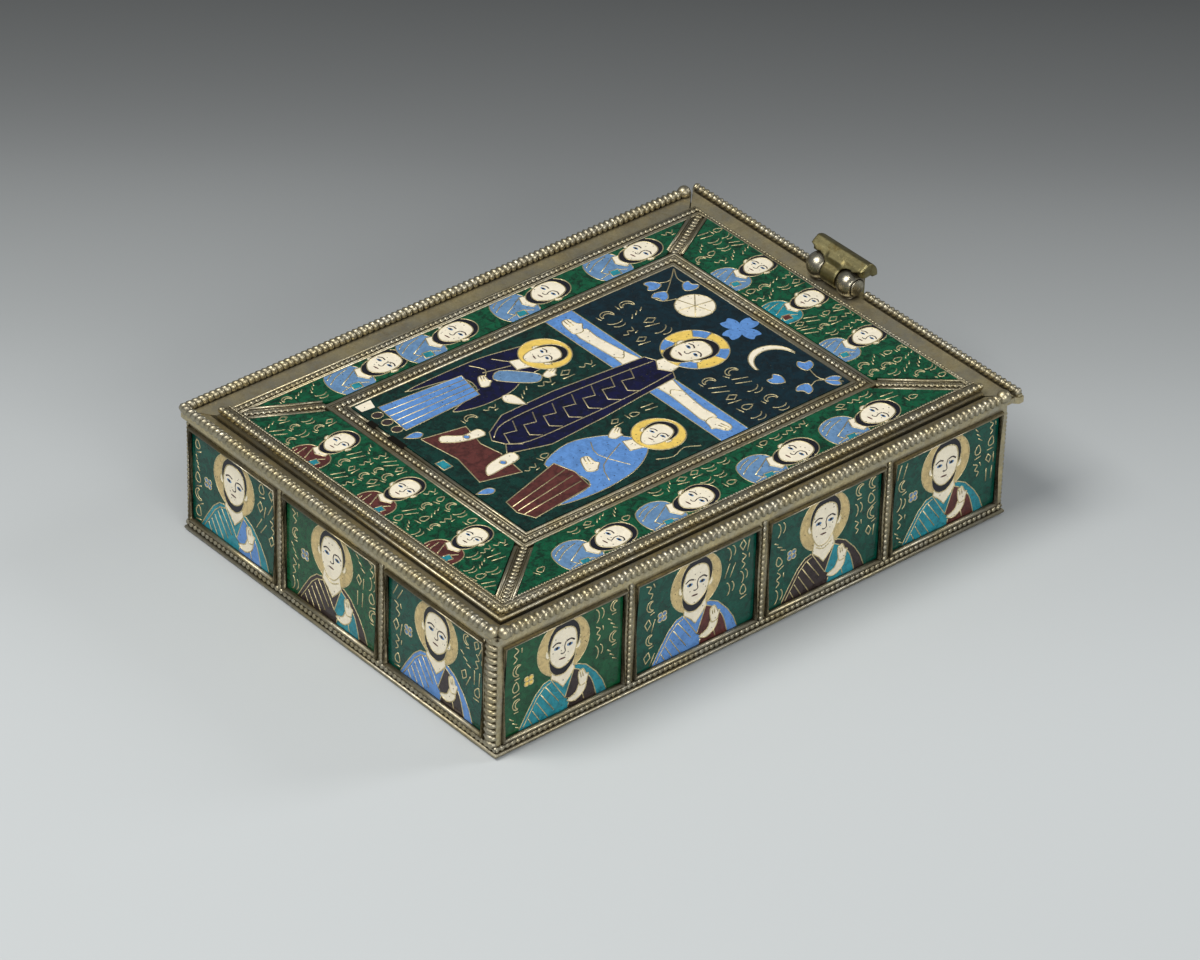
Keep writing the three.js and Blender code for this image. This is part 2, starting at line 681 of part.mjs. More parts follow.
function hingeLeaf() {
  const half = BARREL_LENGTH / 2;
  const barrel = rod(BARREL_RADIUS, HINGE_SHIFT_Y - half, HINGE_SHIFT_Y + half);
  const line = leafLine();
  const tongue = leafBand(line.slice(0, 7), BARREL_LENGTH);
  const shoulders = leafBand(line.slice(3), LEAF_WIDTH);
  // Seen from the end, the leaf is a T. Its shoulders pass over the lugs, and its tongue hangs down.
  const shoulder = LEAF_WIDTH / 2;
  const side = LEAF_TONGUE_WIDTH / 2;
  const top = LEAF_CREST + LEAF;
  const shoulderFoot = LEAF_CREST - LEAF_SHOULDER;
  const end = side - LEAF_DROP;
  const shape = new THREE.Shape();
  shape.moveTo(-shoulder, top);
  shape.lineTo(-shoulder, shoulderFoot);
  shape.quadraticCurveTo(-side, shoulderFoot, -side, shoulderFoot - LEAF_FLARE);
  shape.lineTo(-side, end);
  shape.absarc(0, end, side, Math.PI, 2 * Math.PI, false);
  shape.lineTo(side, shoulderFoot - LEAF_FLARE);
  shape.quadraticCurveTo(side, shoulderFoot, shoulder, shoulderFoot);
  shape.lineTo(shoulder, top);
  const cutter = new THREE.ExtrudeGeometry(shape, {
    depth: BIG,
    bevelEnabled: false,
    curveSegments: 8,
  });
  const facingEnd = new THREE.Matrix4().set(
    0, 0, 1, 0,
    1, 0, 0, HINGE_SHIFT_Y,
    0, 1, 0, HINGE_Z,
    0, 0, 0, 1,
  );
  cutter.applyMatrix4(facingEnd);
  const outlined = shoulders.intersect(solidOf(cutter));
  const bore = rod(BORE_RADIUS, -BIG, BIG);
  const leaf = united([barrel, tongue, outlined]).subtract(bore);
  return mesh("hinge_leaf", leaf, BRASS);
}

// The end strip's wire stops on both sides of the hinge.
function endWires() {
  const x = HALF_LENGTH + END_STRIP_OVERHANG - END_BEAD.width / 2;
  const room = LUG_RADIUS + PIN_HEAD + 2 * PIN_CLEARANCE;
  const end = HALF_WIDTH - TIP_INSET - SETTING_GAP;
  const spans = [
    ["front", -end, LUG_Y[0] - room],
    ["back", LUG_Y[1] + room, end],
  ];
  return spans.map(([name, y0, y1]) =>
    mesh(
      `end_wire_${name}`,
      beadedWire([at(x, y0, RAIL_SEAT), at(x, y1, RAIL_SEAT)], UP, END_BEAD),
      SILVER_GILT,
    ),
  );
}

const plate = lidPlate();

const box = new THREE.Group();
box.add(
  mesh("box_body", boxBody(), SILVER_GILT),
  baseMoulding(),
  rimWire(),
  ...cornerColumns(),
  ...separators(),
  ...wallPlaques(),
);

const lid = new THREE.Group();
lid.add(
  mesh("lid_plate", plate, SILVER_GILT),
  lidWires(),
  mesh("lid_border_strip", lidBorderStrip(), SILVER_GILT),
  mesh("lid_centre_frame", centreFrame(), SILVER_GILT),
  ...mitreStrips(),
  ...lidPlaques(),
  ...endWires(),
  ...hingeLugs(plate),
  hingePin(),
);

const casket = new THREE.Group();
casket.add(box, lid, hingeLeaf());

export default casket;
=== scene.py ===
"""The finish of a small reliquary casket: worn silver gilt, beaded wires and cloisonne enamel.

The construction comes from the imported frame. This add-on dresses it: beads run along the rim, the
walls and the lid, each plaque gets its cells of enamel between gold wires, and the hinge gets its
rounded forms. Lengths are in millimetres in the drawing functions, and MM turns them into metres.
"""

import math
import random

import bmesh
import bpy
from bpy.props import FloatProperty, FloatVectorProperty, PointerProperty
from mathutils import Matrix, Vector, geometry


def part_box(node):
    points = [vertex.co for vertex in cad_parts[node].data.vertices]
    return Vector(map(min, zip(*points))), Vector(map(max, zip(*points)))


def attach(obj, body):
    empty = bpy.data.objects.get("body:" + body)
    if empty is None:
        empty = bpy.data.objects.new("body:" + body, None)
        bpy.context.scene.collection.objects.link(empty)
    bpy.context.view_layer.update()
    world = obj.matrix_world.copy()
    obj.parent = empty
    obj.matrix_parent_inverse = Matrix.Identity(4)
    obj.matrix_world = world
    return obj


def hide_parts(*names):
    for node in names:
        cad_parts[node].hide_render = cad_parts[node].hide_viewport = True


bl_info = {
    "name": "Reliquary Casket Finish",
    "version": (1, 0, 0),
    "blender": (4, 5, 0),
    "location": "3D View > Sidebar > Casket",
    "description": "Beaded wires, cloisonne enamel and worn silver gilt of a reliquary casket",
    "category": "Object",
}

MM = 0.001
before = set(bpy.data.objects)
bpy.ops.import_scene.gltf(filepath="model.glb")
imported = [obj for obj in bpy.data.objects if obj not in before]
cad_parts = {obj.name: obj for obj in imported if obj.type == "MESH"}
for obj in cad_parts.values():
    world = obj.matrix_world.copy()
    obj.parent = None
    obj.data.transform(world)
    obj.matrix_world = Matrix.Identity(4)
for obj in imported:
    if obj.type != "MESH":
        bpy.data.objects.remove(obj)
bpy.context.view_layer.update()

X = Vector((1, 0, 0))
Y = Vector((0, 1, 0))
Z = Vector((0, 0, 1))

# The right, up and outward directions of a picture on each side of the casket
FACINGS = {
    "front": (X, Z, -Y),
    "right": (Y, Z, X),
    "back": (-X, Z, Y),
    "left": (-Y, Z, -X),
    "lid": (-Y, X, Z),
}


def srgb(red, green, blue):
    """A colour picked on a 0 to 255 display scale, as linear values."""
    def linear(value):
        share = value / 255
        return share / 12.92 if share <= 0.04045 else ((share + 0.055) / 1.055) ** 2.4
    return (linear(red), linear(green), linear(blue), 1.0)


def colour_property(name, text, default):
    return FloatVectorProperty(
        name=name, description=text, subtype="COLOR", size=4, min=0, max=1, default=default
    )


def length_property(name, text, millimetres):
    return FloatProperty(
        name=name,
        description=text,
        default=millimetres * MM,
        min=0.01 * MM,
        unit="LENGTH",
        subtype="DISTANCE",
        precision=5,
    )


class CasketSizes(bpy.types.PropertyGroup):
    """Sizes of the wires and beads, which can be changed without touching the construction."""

    rim_pitch: length_property("Rim pitch", "Distance between the beads of the rim", 1.02)
    rim_bead: length_property("Rim bead", "Width of a bead of the rim", 1.8)
    lid_pitch: length_property("Lid pitch", "Distance between the beads of the lid's border", 1.0)
    lid_bead: length_property("Lid bead", "Width of a bead of the lid's border", 1.14)
    fine_pitch: length_property("Fine pitch", "Distance between the beads of the fine rows", 0.92)
    fine_bead: length_property("Fine bead", "Width of a bead of the fine rows", 0.8)
    column_pitch: length_property("Column pitch", "Distance between the corner column's beads", 1.05)
    column_bead: length_property("Column bead", "Width of a bead of the corner column", 2.4)
    cloison: length_property("Cloison", "Width of the gold wires in the enamel", 0.18)
    cloison_rise: length_property("Cloison rise", "Height of the gold wires over the enamel", 0.05)


class CasketColours(bpy.types.PropertyGroup):
    """Colours of the enamels and metals."""

    emerald: colour_property("Emerald", "Ground of the lid's border pictures", srgb(0, 78, 48))
    deep_green: colour_property("Deep green", "Ground of the central picture", srgb(2, 48, 40))
    night: colour_property("Night", "Dark sky of the central picture", srgb(0, 32, 42))
    fir: colour_property("Fir", "Warmer ground on the walls", srgb(14, 78, 46))
    teal: colour_property("Teal", "Ground of the pictures on the walls", srgb(3, 72, 58))
    navy: colour_property("Navy", "Robes of the central picture", srgb(6, 8, 52))
    sky: colour_property("Light blue", "Robes and leaves", srgb(90, 136, 196))
    slate: colour_property("Slate blue", "Robes on the lid's border", srgb(98, 134, 172))
    turquoise: colour_property("Turquoise", "Robes and small cells", srgb(34, 132, 146))
    maroon: colour_property("Maroon", "Robes and the footrest", srgb(88, 44, 40))
    umber: colour_property("Umber", "Dark robes on the walls", srgb(52, 42, 42))
    ivory: colour_property("Ivory", "Faces and hands", srgb(232, 222, 198))
    yellow: colour_property("Yellow", "Haloes of the central picture", srgb(228, 194, 96))
    tan: colour_property("Tan", "Haloes on the walls", srgb(196, 174, 122))
    ink: colour_property("Ink", "Hair and beards", srgb(20, 20, 30))
    gold: colour_property("Gold", "Wires between the enamels", srgb(232, 216, 168))
    gilt: colour_property("Silver gilt", "Worn gilding of the box", srgb(207, 193, 152))
    bare_silver: colour_property("Bare silver", "Silver where the gilding is gone", srgb(176, 170, 151))
    # Laid into the recesses by ambient occlusion: real tarnish, and painted shade there too
    tarnish_and_shade: colour_property("Grime", "Tarnish in the recesses", srgb(52, 44, 28))
    brass: colour_property("Brass", "Barrel and leaf of the hinge", srgb(144, 136, 97))
    floor: colour_property("Floor", "The plain floor", srgb(188, 192, 193))


class CasketView(bpy.types.PropertyGroup):
    """The camera, which stands where the photograph was taken."""

    azimuth: FloatProperty(name="Azimuth", description="Way the camera looks", default=-41.27)
    elevation: FloatProperty(name="Elevation", description="Angle above the horizon", default=34.57)
    roll: FloatProperty(name="Roll", description="Turn of the picture", default=1.76)
    distance: length_property("Distance", "From the camera to its target", 894.0)
    lens: FloatProperty(name="Lens", description="Focal length on a 36 mm sensor", default=189.3)
    target_right: FloatProperty(name="Target right", description="Millimetres", default=0.26)
    target_up: FloatProperty(name="Target up", description="Millimetres", default=-4.14)
    target_height: FloatProperty(name="Target height", description="Millimetres", default=12.3)


def sizes():
    return bpy.context.scene.casket_sizes


def colours():
    return bpy.context.scene.casket_colours


# Materials

class Shader:
    """A node material that is built from the principled shader backwards."""

    def __init__(self, name):
        self.material = bpy.data.materials.new(name)
        self.material.use_nodes = True
        self.nodes = self.material.node_tree.nodes
        self.links = self.material.node_tree.links
        self.principled = self.nodes["Principled BSDF"]
        self.place = self.add("ShaderNodeTexCoord").outputs["Object"]

    def add(self, kind, values=None, **settings):
        node = self.nodes.new(kind)
        for key, value in settings.items():
            setattr(node, key, value)
        self.feed(node, values or {})
        return node

    def feed(self, node, values):
        """Links sockets to the node's inputs, and sets the inputs that get a plain value."""
        for key, value in values.items():
            if isinstance(value, bpy.types.NodeSocket):
                self.links.new(value, node.inputs[key])
            else:
                node.inputs[key].default_value = value

    def noise(self, per_mm, detail=4, roughness=0.55, distortion=0.0):
        """Noise with about so many blotches to the millimetre."""
        values = {
            "Vector": self.place,
            "Scale": per_mm / MM,
            "Detail": detail,
            "Roughness": roughness,
            "Distortion": distortion,
        }
        return self.add("ShaderNodeTexNoise", values).outputs["Fac"]

    def spots(self, per_mm, radius):
        """Sparse round spots: 1 inside a spot and 0 elsewhere."""
        values = {"Vector": self.place, "Scale": per_mm / MM, "Randomness": 1.0}
        distance = self.add("ShaderNodeTexVoronoi", values).outputs["Distance"]
        return self.ramp(distance, (radius * 0.7, 1.0), (radius, 0.0))

    def ramp(self, factor, low, high):
        """Maps factor from low's place to high's place onto their two values."""
        values = {
            "Value": factor,
            "From Min": low[0],
            "From Max": high[0],
            "To Min": low[1],
            "To Max": high[1],
        }
        return self.add("ShaderNodeMapRange", values).outputs["Result"]

    def mix(self, factor, first, second):
        """A blend of two colours. Their sockets lie behind those of the node's other kinds."""
        node = self.add("ShaderNodeMix", data_type="RGBA")
        self.feed(node, {0: factor, 6: first, 7: second})
        return node.outputs[2]

    def math(self, operation, first, second=0.0):
        node = self.add("ShaderNodeMath", {0: first, 1: second}, operation=operation)
        return node.outputs["Value"]

    def hollow(self, reach):
        """How deep in a recess a point lies, from 0 in the open to 1 in a crevice."""
        node = self.add("ShaderNodeAmbientOcclusion", {"Distance": reach}, samples=6)
        return self.ramp(node.outputs["AO"], (0.25, 1.0), (0.85, 0.0))

    def bump(self, height, strength, distance):
        values = {"Height": height, "Strength": strength, "Distance": distance}
        node = self.add("ShaderNodeBump", values)
        self.links.new(node.outputs["Normal"], self.principled.inputs["Normal"])

    def finish(self, colour, roughness, **plain):
        """Sets the principled shader's sockets. Underscores in a name stand for spaces."""
        self.feed(self.principled, {"Base Color": colour, "Roughness": roughness})
        self.feed(self.principled, {key.replace("_", " "): value for key, value in plain.items()})
        return self.material


def shaded(colour, share):
    """The colour with its channels times the share."""
    return tuple(channel * share for channel in colour[:3]) + (1.0,)


def worn_metal(name, bright, worn, tarnish_and_shade, polish=0.3, tarnish_and_shade_reach=1.0, stained=0.34):
    """Old metal: bare where it is rubbed, stained over its flats, and darker in its recesses, where
    ambient occlusion lays tarnish and painted shade.
    """
    shader = Shader(name)
    patches = shader.ramp(shader.noise(0.22, detail=6), (0.36, 0.0), (0.64, 1.0))
    mottle = shader.noise(1.6, detail=8, roughness=0.7)
    stains = shader.noise(0.6, detail=9, roughness=0.72, distortion=0.6)
    body = shader.mix(patches, bright, worn)
    body = shader.mix(shader.ramp(mottle, (0.42, 0.0), (0.75, 0.75)), body, shaded(bright, 0.5))
    brown = (bright[0] * 0.5, bright[1] * 0.41, bright[2] * 0.27, 1.0)
    body = shader.mix(shader.ramp(stains, (0.48, 0.0), (0.66, stained)), body, brown)
    # Ambient occlusion lays the tarnish colour into the recesses: real tarnish, and painted shade there
    # too
    crevice = shader.hollow(tarnish_and_shade_reach * MM)
    tarnish_and_shade_mask = shader.math("MULTIPLY", crevice, shader.ramp(mottle, (0.2, 0.55), (0.6, 1.15)))
    tarnish_and_shade_mask = shader.math("MINIMUM", tarnish_and_shade_mask, 0.96)
    body = shader.mix(tarnish_and_shade_mask, body, tarnish_and_shade)
    rough = shader.ramp(mottle, (0.3, polish), (0.72, polish + 0.24))
    rough = shader.math("ADD", rough, shader.math("MULTIPLY", tarnish_and_shade_mask, 0.3))
    grain = shader.math("ADD", mottle, shader.math("MULTIPLY", shader.noise(7.0, detail=3), 0.4))
    grain = shader.math("ADD", grain, shader.math("MULTIPLY", shader.spots(0.9, 0.14), -0.5))
    shader.bump(grain, 0.5, 0.06 * MM)
    return shader.finish(body, rough, Metallic=1.0)


def plain_gold(name, colour):
    """The thin wires, which are rubbed clean on their backs."""
    shader = Shader(name)
    mottle = shader.noise(2.5, detail=5)
    body = shader.mix(shader.ramp(mottle, (0.4, 0.0), (0.7, 1.0)), colour, shaded(colour, 0.55))
    return shader.finish(body, shader.ramp(mottle, (0.3, 0.38), (0.7, 0.55)), Metallic=1.0)


def enamel(name, colour, depth, streak):
    """Glassy enamel with pits and fine bubbles: depth darkens its pools, and streak lightens it."""
    shader = Shader(name)
    pools = shader.noise(0.75, detail=7, roughness=0.68, distortion=0.9)
    streaks = shader.noise(2.4, detail=8, roughness=0.75, distortion=1.4)
    dark = shaded(colour, 1 - depth)
    light = tuple(min(1.0, channel * 1.6 + 0.012) for channel in colour[:3]) + (1.0,)
    body = shader.mix(shader.ramp(pools, (0.4, 0.0), (0.58, 1.0)), dark, colour)
    body = shader.mix(shader.ramp(streaks, (0.52, 0.0), (0.7, streak)), body, light)
    pits = shader.spots(1.3, 0.16)
    bubbles = shader.math("MULTIPLY", shader.spots(1.9, 0.12), 0.6)
    body = shader.mix(shader.math("MULTIPLY", pits, 0.85), body, (0.01, 0.01, 0.008, 1))
    body = shader.mix(bubbles, body, light)
    rough = shader.ramp(streaks, (0.35, 0.12), (0.75, 0.3))
    rough = shader.math("ADD", rough, shader.math("MULTIPLY", pits, 0.4))
    height = shader.math("SUBTRACT", shader.math("MULTIPLY", pools, 0.9), pits)
    shader.bump(height, 0.4, 0.06 * MM)
    return shader.finish(body, rough, Coat_Weight=0.07, Coat_Roughness=0.1, Specular_IOR_Level=0.3)


def make_finishes():
    """Every material of the casket, by the name that the drawing functions use."""
    tints = colours()
    gilt = tuple(tints.gilt)
    silver = tuple(tints.bare_silver)
    tarnish_and_shade = tuple(tints.tarnish_and_shade)
    brass = tuple(tints.brass)
    made = {
        "gilt": worn_metal("silver_gilt_sheet", gilt, silver, tarnish_and_shade, 0.36, 0.7),
        "beads": worn_metal("silver_beads", silver, shaded(gilt, 0.7), tarnish_and_shade, 0.28, 0.7),
        "gilt_beads": worn_metal("silver_gilt_beads", shaded(gilt, 0.66), silver, tarnish_and_shade, 0.29, 0.6),
        "gold": plain_gold("gold_cloison", tuple(tints.gold)),
        "silver": worn_metal("worn_silver", shaded(silver, 1.12), shaded(silver, 0.55), tarnish_and_shade, 0.17),
        "brass": worn_metal("olive_brass", brass, shaded(brass, 0.66), tarnish_and_shade, 0.3, stained=0.8),
        # Near-black painted shade for the gaps where a wire is torn away
        "gap_shade": Shader("lost_place").finish((0.008, 0.007, 0.005, 1), 0.9, Specular_IOR_Level=0.05),
        "patina": worn_metal("brown_patina", shaded(gilt, 0.38), shaded(silver, 0.7), tarnish_and_shade, 0.42, 0.8),
    }
    # Depth and streak of each enamel
    glass = {
        "emerald": (0.75, 0.6),
        "deep_green": (0.75, 0.65),
        "night": (0.6, 0.5),
        "teal": (0.5, 0.55),
        "navy": (0.7, 0.3),
        "sky": (0.25, 0.35),
        "slate": (0.25, 0.4),
        "turquoise": (0.4, 0.4),
        "maroon": (0.5, 0.25),
        "umber": (0.4, 0.2),
        "fir": (0.5, 0.55),
        "ivory": (0.1, 0.3),
        "yellow": (0.18, 0.3),
        "tan": (0.3, 0.35),
        "ink": (0.5, 0.1),
    }
    for name, (depth, streak) in glass.items():
        made[name] = enamel(f"enamel_{name}", tuple(getattr(tints, name)), depth, streak)
    return made


FINISHES = {}


def finish_of(name):
    """The finish with that name. All of them are made when the first is asked for."""
    if not FINISHES:
        FINISHES.update(make_finishes())
    return FINISHES[name]


# Making meshes

def new_object(name, data):
    """A new object in the scene that holds the data."""
    made = bpy.data.objects.new(name, data)
    bpy.context.scene.collection.objects.link(made)
    return made


def mesh_from(bm, name):
    """A mesh with the bmesh's shape. The bmesh is used up."""
    mesh = bpy.data.meshes.new(name)
    bm.to_mesh(mesh)
    bm.free()
    return mesh


def applied(holder):
    """The mesh of an object with its modifiers applied. The object is used up."""
    graph = bpy.context.evaluated_depsgraph_get()
    mesh = bpy.data.meshes.new_from_object(holder.evaluated_get(graph), depsgraph=graph)
    bpy.data.objects.remove(holder)
    return mesh


def piece_from(bm, name, body, finishes, replaced=(), smooth=False):
    """A finished piece from a bmesh in metres, riding on its body."""
    mesh = mesh_from(bm, name)
    for finish in finishes:
        mesh.materials.append(finish_of(finish))
    if smooth:
        mesh.shade_smooth()
    made = new_object(name, mesh)
    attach(made, body)
    if replaced:
        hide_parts(*replaced)
    return made


def tube(bm, path, radius, closed=False):
    """A round wire along a path, in metres."""
    rings = []
    count = len(path)
    for i, point in enumerate(path):
        before = path[i - 1] if i or closed else point
        after = path[(i + 1) % count] if i < count - 1 or closed else point
        into = (point - before).normalized() if point != before else None
        out = (after - point).normalized() if after != point else None
        way = ((into or out) + (out or into)).normalized()
        across = way.cross(Z)
        if across.length < 0.1:
            across = X.copy()
        across.normalize()
        up = across.cross(way).normalized()
        stretch = 1 / max(0.5, way.dot(out or into))
        ring = []
        for k in range(WIRE_SIDES):
            angle = 2 * math.pi * k / WIRE_SIDES
            offset = across * (math.cos(angle) * stretch) + up * math.sin(angle)
            ring.append(bm.verts.new(point + offset * radius))
        rings.append(ring)
    pairs = list(zip(rings, rings[1:])) + ([(rings[-1], rings[0])] if closed else [])
    for one, other in pairs:
        for k in range(WIRE_SIDES):
            j = (k + 1) % WIRE_SIDES
            bm.faces.new((one[k], one[j], other[j], other[k]))
    if not closed:
        bm.faces.new(rings[0][::-1])
        bm.faces.new(rings[-1])


def slab(bm, low, high):
    """A closed block between two corners, in metres."""
    corners = [
        bm.verts.new((x, y, z))
        for z in (low[2], high[2])
        for x, y in ((low[0], low[1]), (high[0], low[1]), (high[0], high[1]), (low[0], high[1]))
    ]
    bottom_and_top = ((3, 2, 1, 0), (4, 5, 6, 7))
    sides = ((0, 1, 5, 4), (1, 2, 6, 5), (2, 3, 7, 6), (3, 0, 4, 7))
    for quad in bottom_and_top + sides:
        bm.faces.new([corners[k] for k in quad])


# Sides of the beads and wires, and the radius of a bead's core wire as a share of its size
BEAD_SEGMENTS = 8
BEAD_RINGS = 6
WIRE_SIDES = 8
CORE_SHARE = 0.33


def bead_tree():
    """Geometry nodes that string beads on a core wire along every edge path they are given."""
    tree = bpy.data.node_groups.new("Beaded wire", "GeometryNodeTree")
    face = tree.interface
    face.new_socket("Path", in_out="INPUT", socket_type="NodeSocketGeometry")
    for name in ("Pitch", "Length", "Width", "Height", "Core"):
        socket = face.new_socket(name, in_out="INPUT", socket_type="NodeSocketFloat")
        socket.default_value = MM
    face.new_socket("Material", in_out="INPUT", socket_type="NodeSocketMaterial")
    face.new_socket("Beads", in_out="OUTPUT", socket_type="NodeSocketGeometry")
    nodes = tree.nodes
    link = tree.links.new
    given = nodes.new("NodeGroupInput").outputs
    to_curve = nodes.new("GeometryNodeMeshToCurve")
    link(given["Path"], to_curve.inputs["Mesh"])
    stand_up = nodes.new("GeometryNodeSetCurveNormal")
    stand_up.mode = "Z_UP"
    link(to_curve.outputs["Curve"], stand_up.inputs["Curve"])
    spots = nodes.new("GeometryNodeCurveToPoints")
    spots.mode = "LENGTH"
    link(stand_up.outputs["Curve"], spots.inputs["Curve"])
    link(given["Pitch"], spots.inputs["Length"])
    bead = nodes.new("GeometryNodeMeshUVSphere")
    bead.inputs["Segments"].default_value = BEAD_SEGMENTS
    bead.inputs["Rings"].default_value = BEAD_RINGS
    bead.inputs["Radius"].default_value = 0.5
    size = nodes.new("ShaderNodeCombineXYZ")
    link(given["Width"], size.inputs["X"])
    link(given["Height"], size.inputs["Y"])
    link(given["Length"], size.inputs["Z"])
    strung = nodes.new("GeometryNodeInstanceOnPoints")
    link(spots.outputs["Points"], strung.inputs["Points"])
    link(spots.outputs["Rotation"], strung.inputs["Rotation"])
    link(bead.outputs["Mesh"], strung.inputs["Instance"])
    link(size.outputs["Vector"], strung.inputs["Scale"])
    circle = nodes.new("GeometryNodeCurvePrimitiveCircle")
    circle.inputs["Resolution"].default_value = WIRE_SIDES
    link(given["Core"], circle.inputs["Radius"])
    core = nodes.new("GeometryNodeCurveToMesh")
    core.inputs["Fill Caps"].default_value = True
    link(stand_up.outputs["Curve"], core.inputs["Curve"])
    link(circle.outputs["Curve"], core.inputs["Profile Curve"])
    both = nodes.new("GeometryNodeJoinGeometry")
    link(strung.outputs["Instances"], both.inputs["Geometry"])
    link(core.outputs["Mesh"], both.inputs["Geometry"])
    real = nodes.new("GeometryNodeRealizeInstances")
    link(both.outputs["Geometry"], real.inputs["Geometry"])
    smooth = nodes.new("GeometryNodeSetShadeSmooth")
    link(real.outputs["Geometry"], smooth.inputs["Geometry"])
    dressed = nodes.new("GeometryNodeSetMaterial")
    link(smooth.outputs["Geometry"], dressed.inputs["Geometry"])
    link(given["Material"], dressed.inputs["Material"])
    result = nodes.new("NodeGroupOutput")
    link(dressed.outputs["Geometry"], result.inputs["Beads"])
    return tree


def strung_beads(paths, pitch, long, wide, high, finish="beads"):
    """A mesh of beaded wires along the paths, in metres."""
    tree = bpy.data.node_groups.get("Beaded wire") or bead_tree()
    line = bpy.data.meshes.new("bead path")
    points = [point for path in paths for point in path]
    edges = []
    start = 0
    for path in paths:
        edges += [(start + k, start + k + 1) for k in range(len(path) - 1)]
        start += len(path)
    line.from_pydata(points, edges, [])
    holder = new_object("bead path", line)
    modifier = holder.modifiers.new("Beads", "NODES")
    modifier.node_group = tree
    values = {
        "Pitch": pitch,
        "Length": long,
        "Width": wide,
        "Height": high,
        "Core": CORE_SHARE * min(wide, high),
        "Material": finish_of(finish),
    }
    for item in tree.interface.items_tree:
        if item.in_out == "INPUT" and item.name in values:
            modifier[item.identifier] = values[item.name]
    return applied(holder)


def beaded_piece(
    name, body, rows, replaced=(), plain=(), backing=(), finish="beads", knobs=(), bed="gilt", lost=()
):
    """One piece of beaded rows, plain wires, round knobs and flat backing strips.

    rows holds (paths, pitch, long, wide, high), plain holds (path, radius, closed), knobs holds
    (middle, radius), and backing and the blocks of painted shade for gaps hold (low corner, high corner),
    in metres.
    """
    bm = bmesh.new()
    for paths, pitch, long, wide, high in rows:
        strung = strung_beads(paths, pitch, long, wide, high, finish)
        bm.from_mesh(strung)
        bpy.data.meshes.remove(strung)
    for face in bm.faces:
        face.smooth = True
        face.material_index = 0
    before = len(bm.faces)
    for path, radius, closed in plain:
        tube(bm, path, radius, closed=closed)
    for middle, radius in knobs:
        at = Matrix.Translation(middle)
        bmesh.ops.create_uvsphere(bm, u_segments=20, v_segments=12, radius=radius, matrix=at)
    bm.faces.ensure_lookup_table()
    for face in bm.faces[before:]:
        face.smooth = True
    # Slot 1 is the bed under the beads, and slot 2 is near-black painted shade in gaps
    for index, slabs in ((1, backing), (2, lost)):
        before = len(bm.faces)
        for low, high in slabs:
            slab(bm, low, high)
        bm.faces.ensure_lookup_table()
        for face in bm.faces[before:]:
            face.material_index = index
    bmesh.ops.recalc_face_normals(bm, faces=bm.faces)
    return piece_from(bm, name, body, (finish, bed) + (("gap_shade",) if lost else ()), replaced)


# Drawing in millimetres on a flat plaque

def ellipse(x, y, wide, high, start=0.0, end=360.0, steps=20):
    """Points on an ellipse of half sizes wide and high, or on its arc between two angles."""
    whole = abs(end - start) >= 360
    count = steps if whole else steps + 1
    angles = [math.radians(start + (end - start) * k / steps) for k in range(count)]
    return [(x + wide * math.cos(angle), y + high * math.sin(angle)) for angle in angles]


def smooth(points, closed=False, steps=4):
    """A smooth curve through the points."""
    count = len(points)
    curve = []
    spans = count if closed else count - 1
    for i in range(spans):
        p1 = Vector(points[i])
        p2 = Vector(points[(i + 1) % count])
        p0 = Vector(points[i - 1]) if i or closed else p1
        p3 = Vector(points[(i + 2) % count]) if i < count - 2 or closed else p2
        for k in range(steps):
            t = k / steps
            a = 2 * p1
            b = p2 - p0
            c = 2 * p0 - 5 * p1 + 4 * p2 - p3
            d = 3 * p1 - p0 - 3 * p2 + p3
            curve.append(tuple(0.5 * (a + b * t + c * t * t + d * t ** 3)))
    if not closed:
        curve.append(tuple(points[-1]))
    return curve


class Picture:
    """Cells of enamel with the gold wires between them, inside a convex outline."""

    def __init__(self, outline, ground):
        outline = counter_clockwise(outline)
        self.outline = [Vector(point) for point in outline]
        self.ground = ground
        self.cells = [(list(outline), ground)]
        self.boxes = [None]
        self.wires = []

    def pen(self, x=0.0, y=0.0, size=1.0, turn=0.0):
        return Pen(self, x, y, size, turn)

    def covered(self, point, first):
        """Whether a cell that was laid later hides the point of a wire."""
        for (corners, _), box in zip(self.cells[first:], self.boxes[first:]):
            if not (box[0] < point.x < box[1] and box[2] < point.y < box[3]):
                continue
            within = False
            x0, y0 = corners[-1]
            for x1, y1 in corners:
                if (y0 > point.y) != (y1 > point.y):
                    if point.x < x0 + (point.y - y0) / (y1 - y0) * (x1 - x0):
                        within = not within
                x0, y0 = x1, y1
            if within:
                return True
        return False

    def inside(self, point, margin=0.12):
        """Whether the point lies inside the outline, by at least the margin."""
        corners = self.outline
        for start, end in zip(corners, corners[1:] + corners[:1]):
            way = (end - start).normalized()
            if way.x * (point.y - start.y) - way.y * (point.x - start.x) < margin:
                return False
        return True


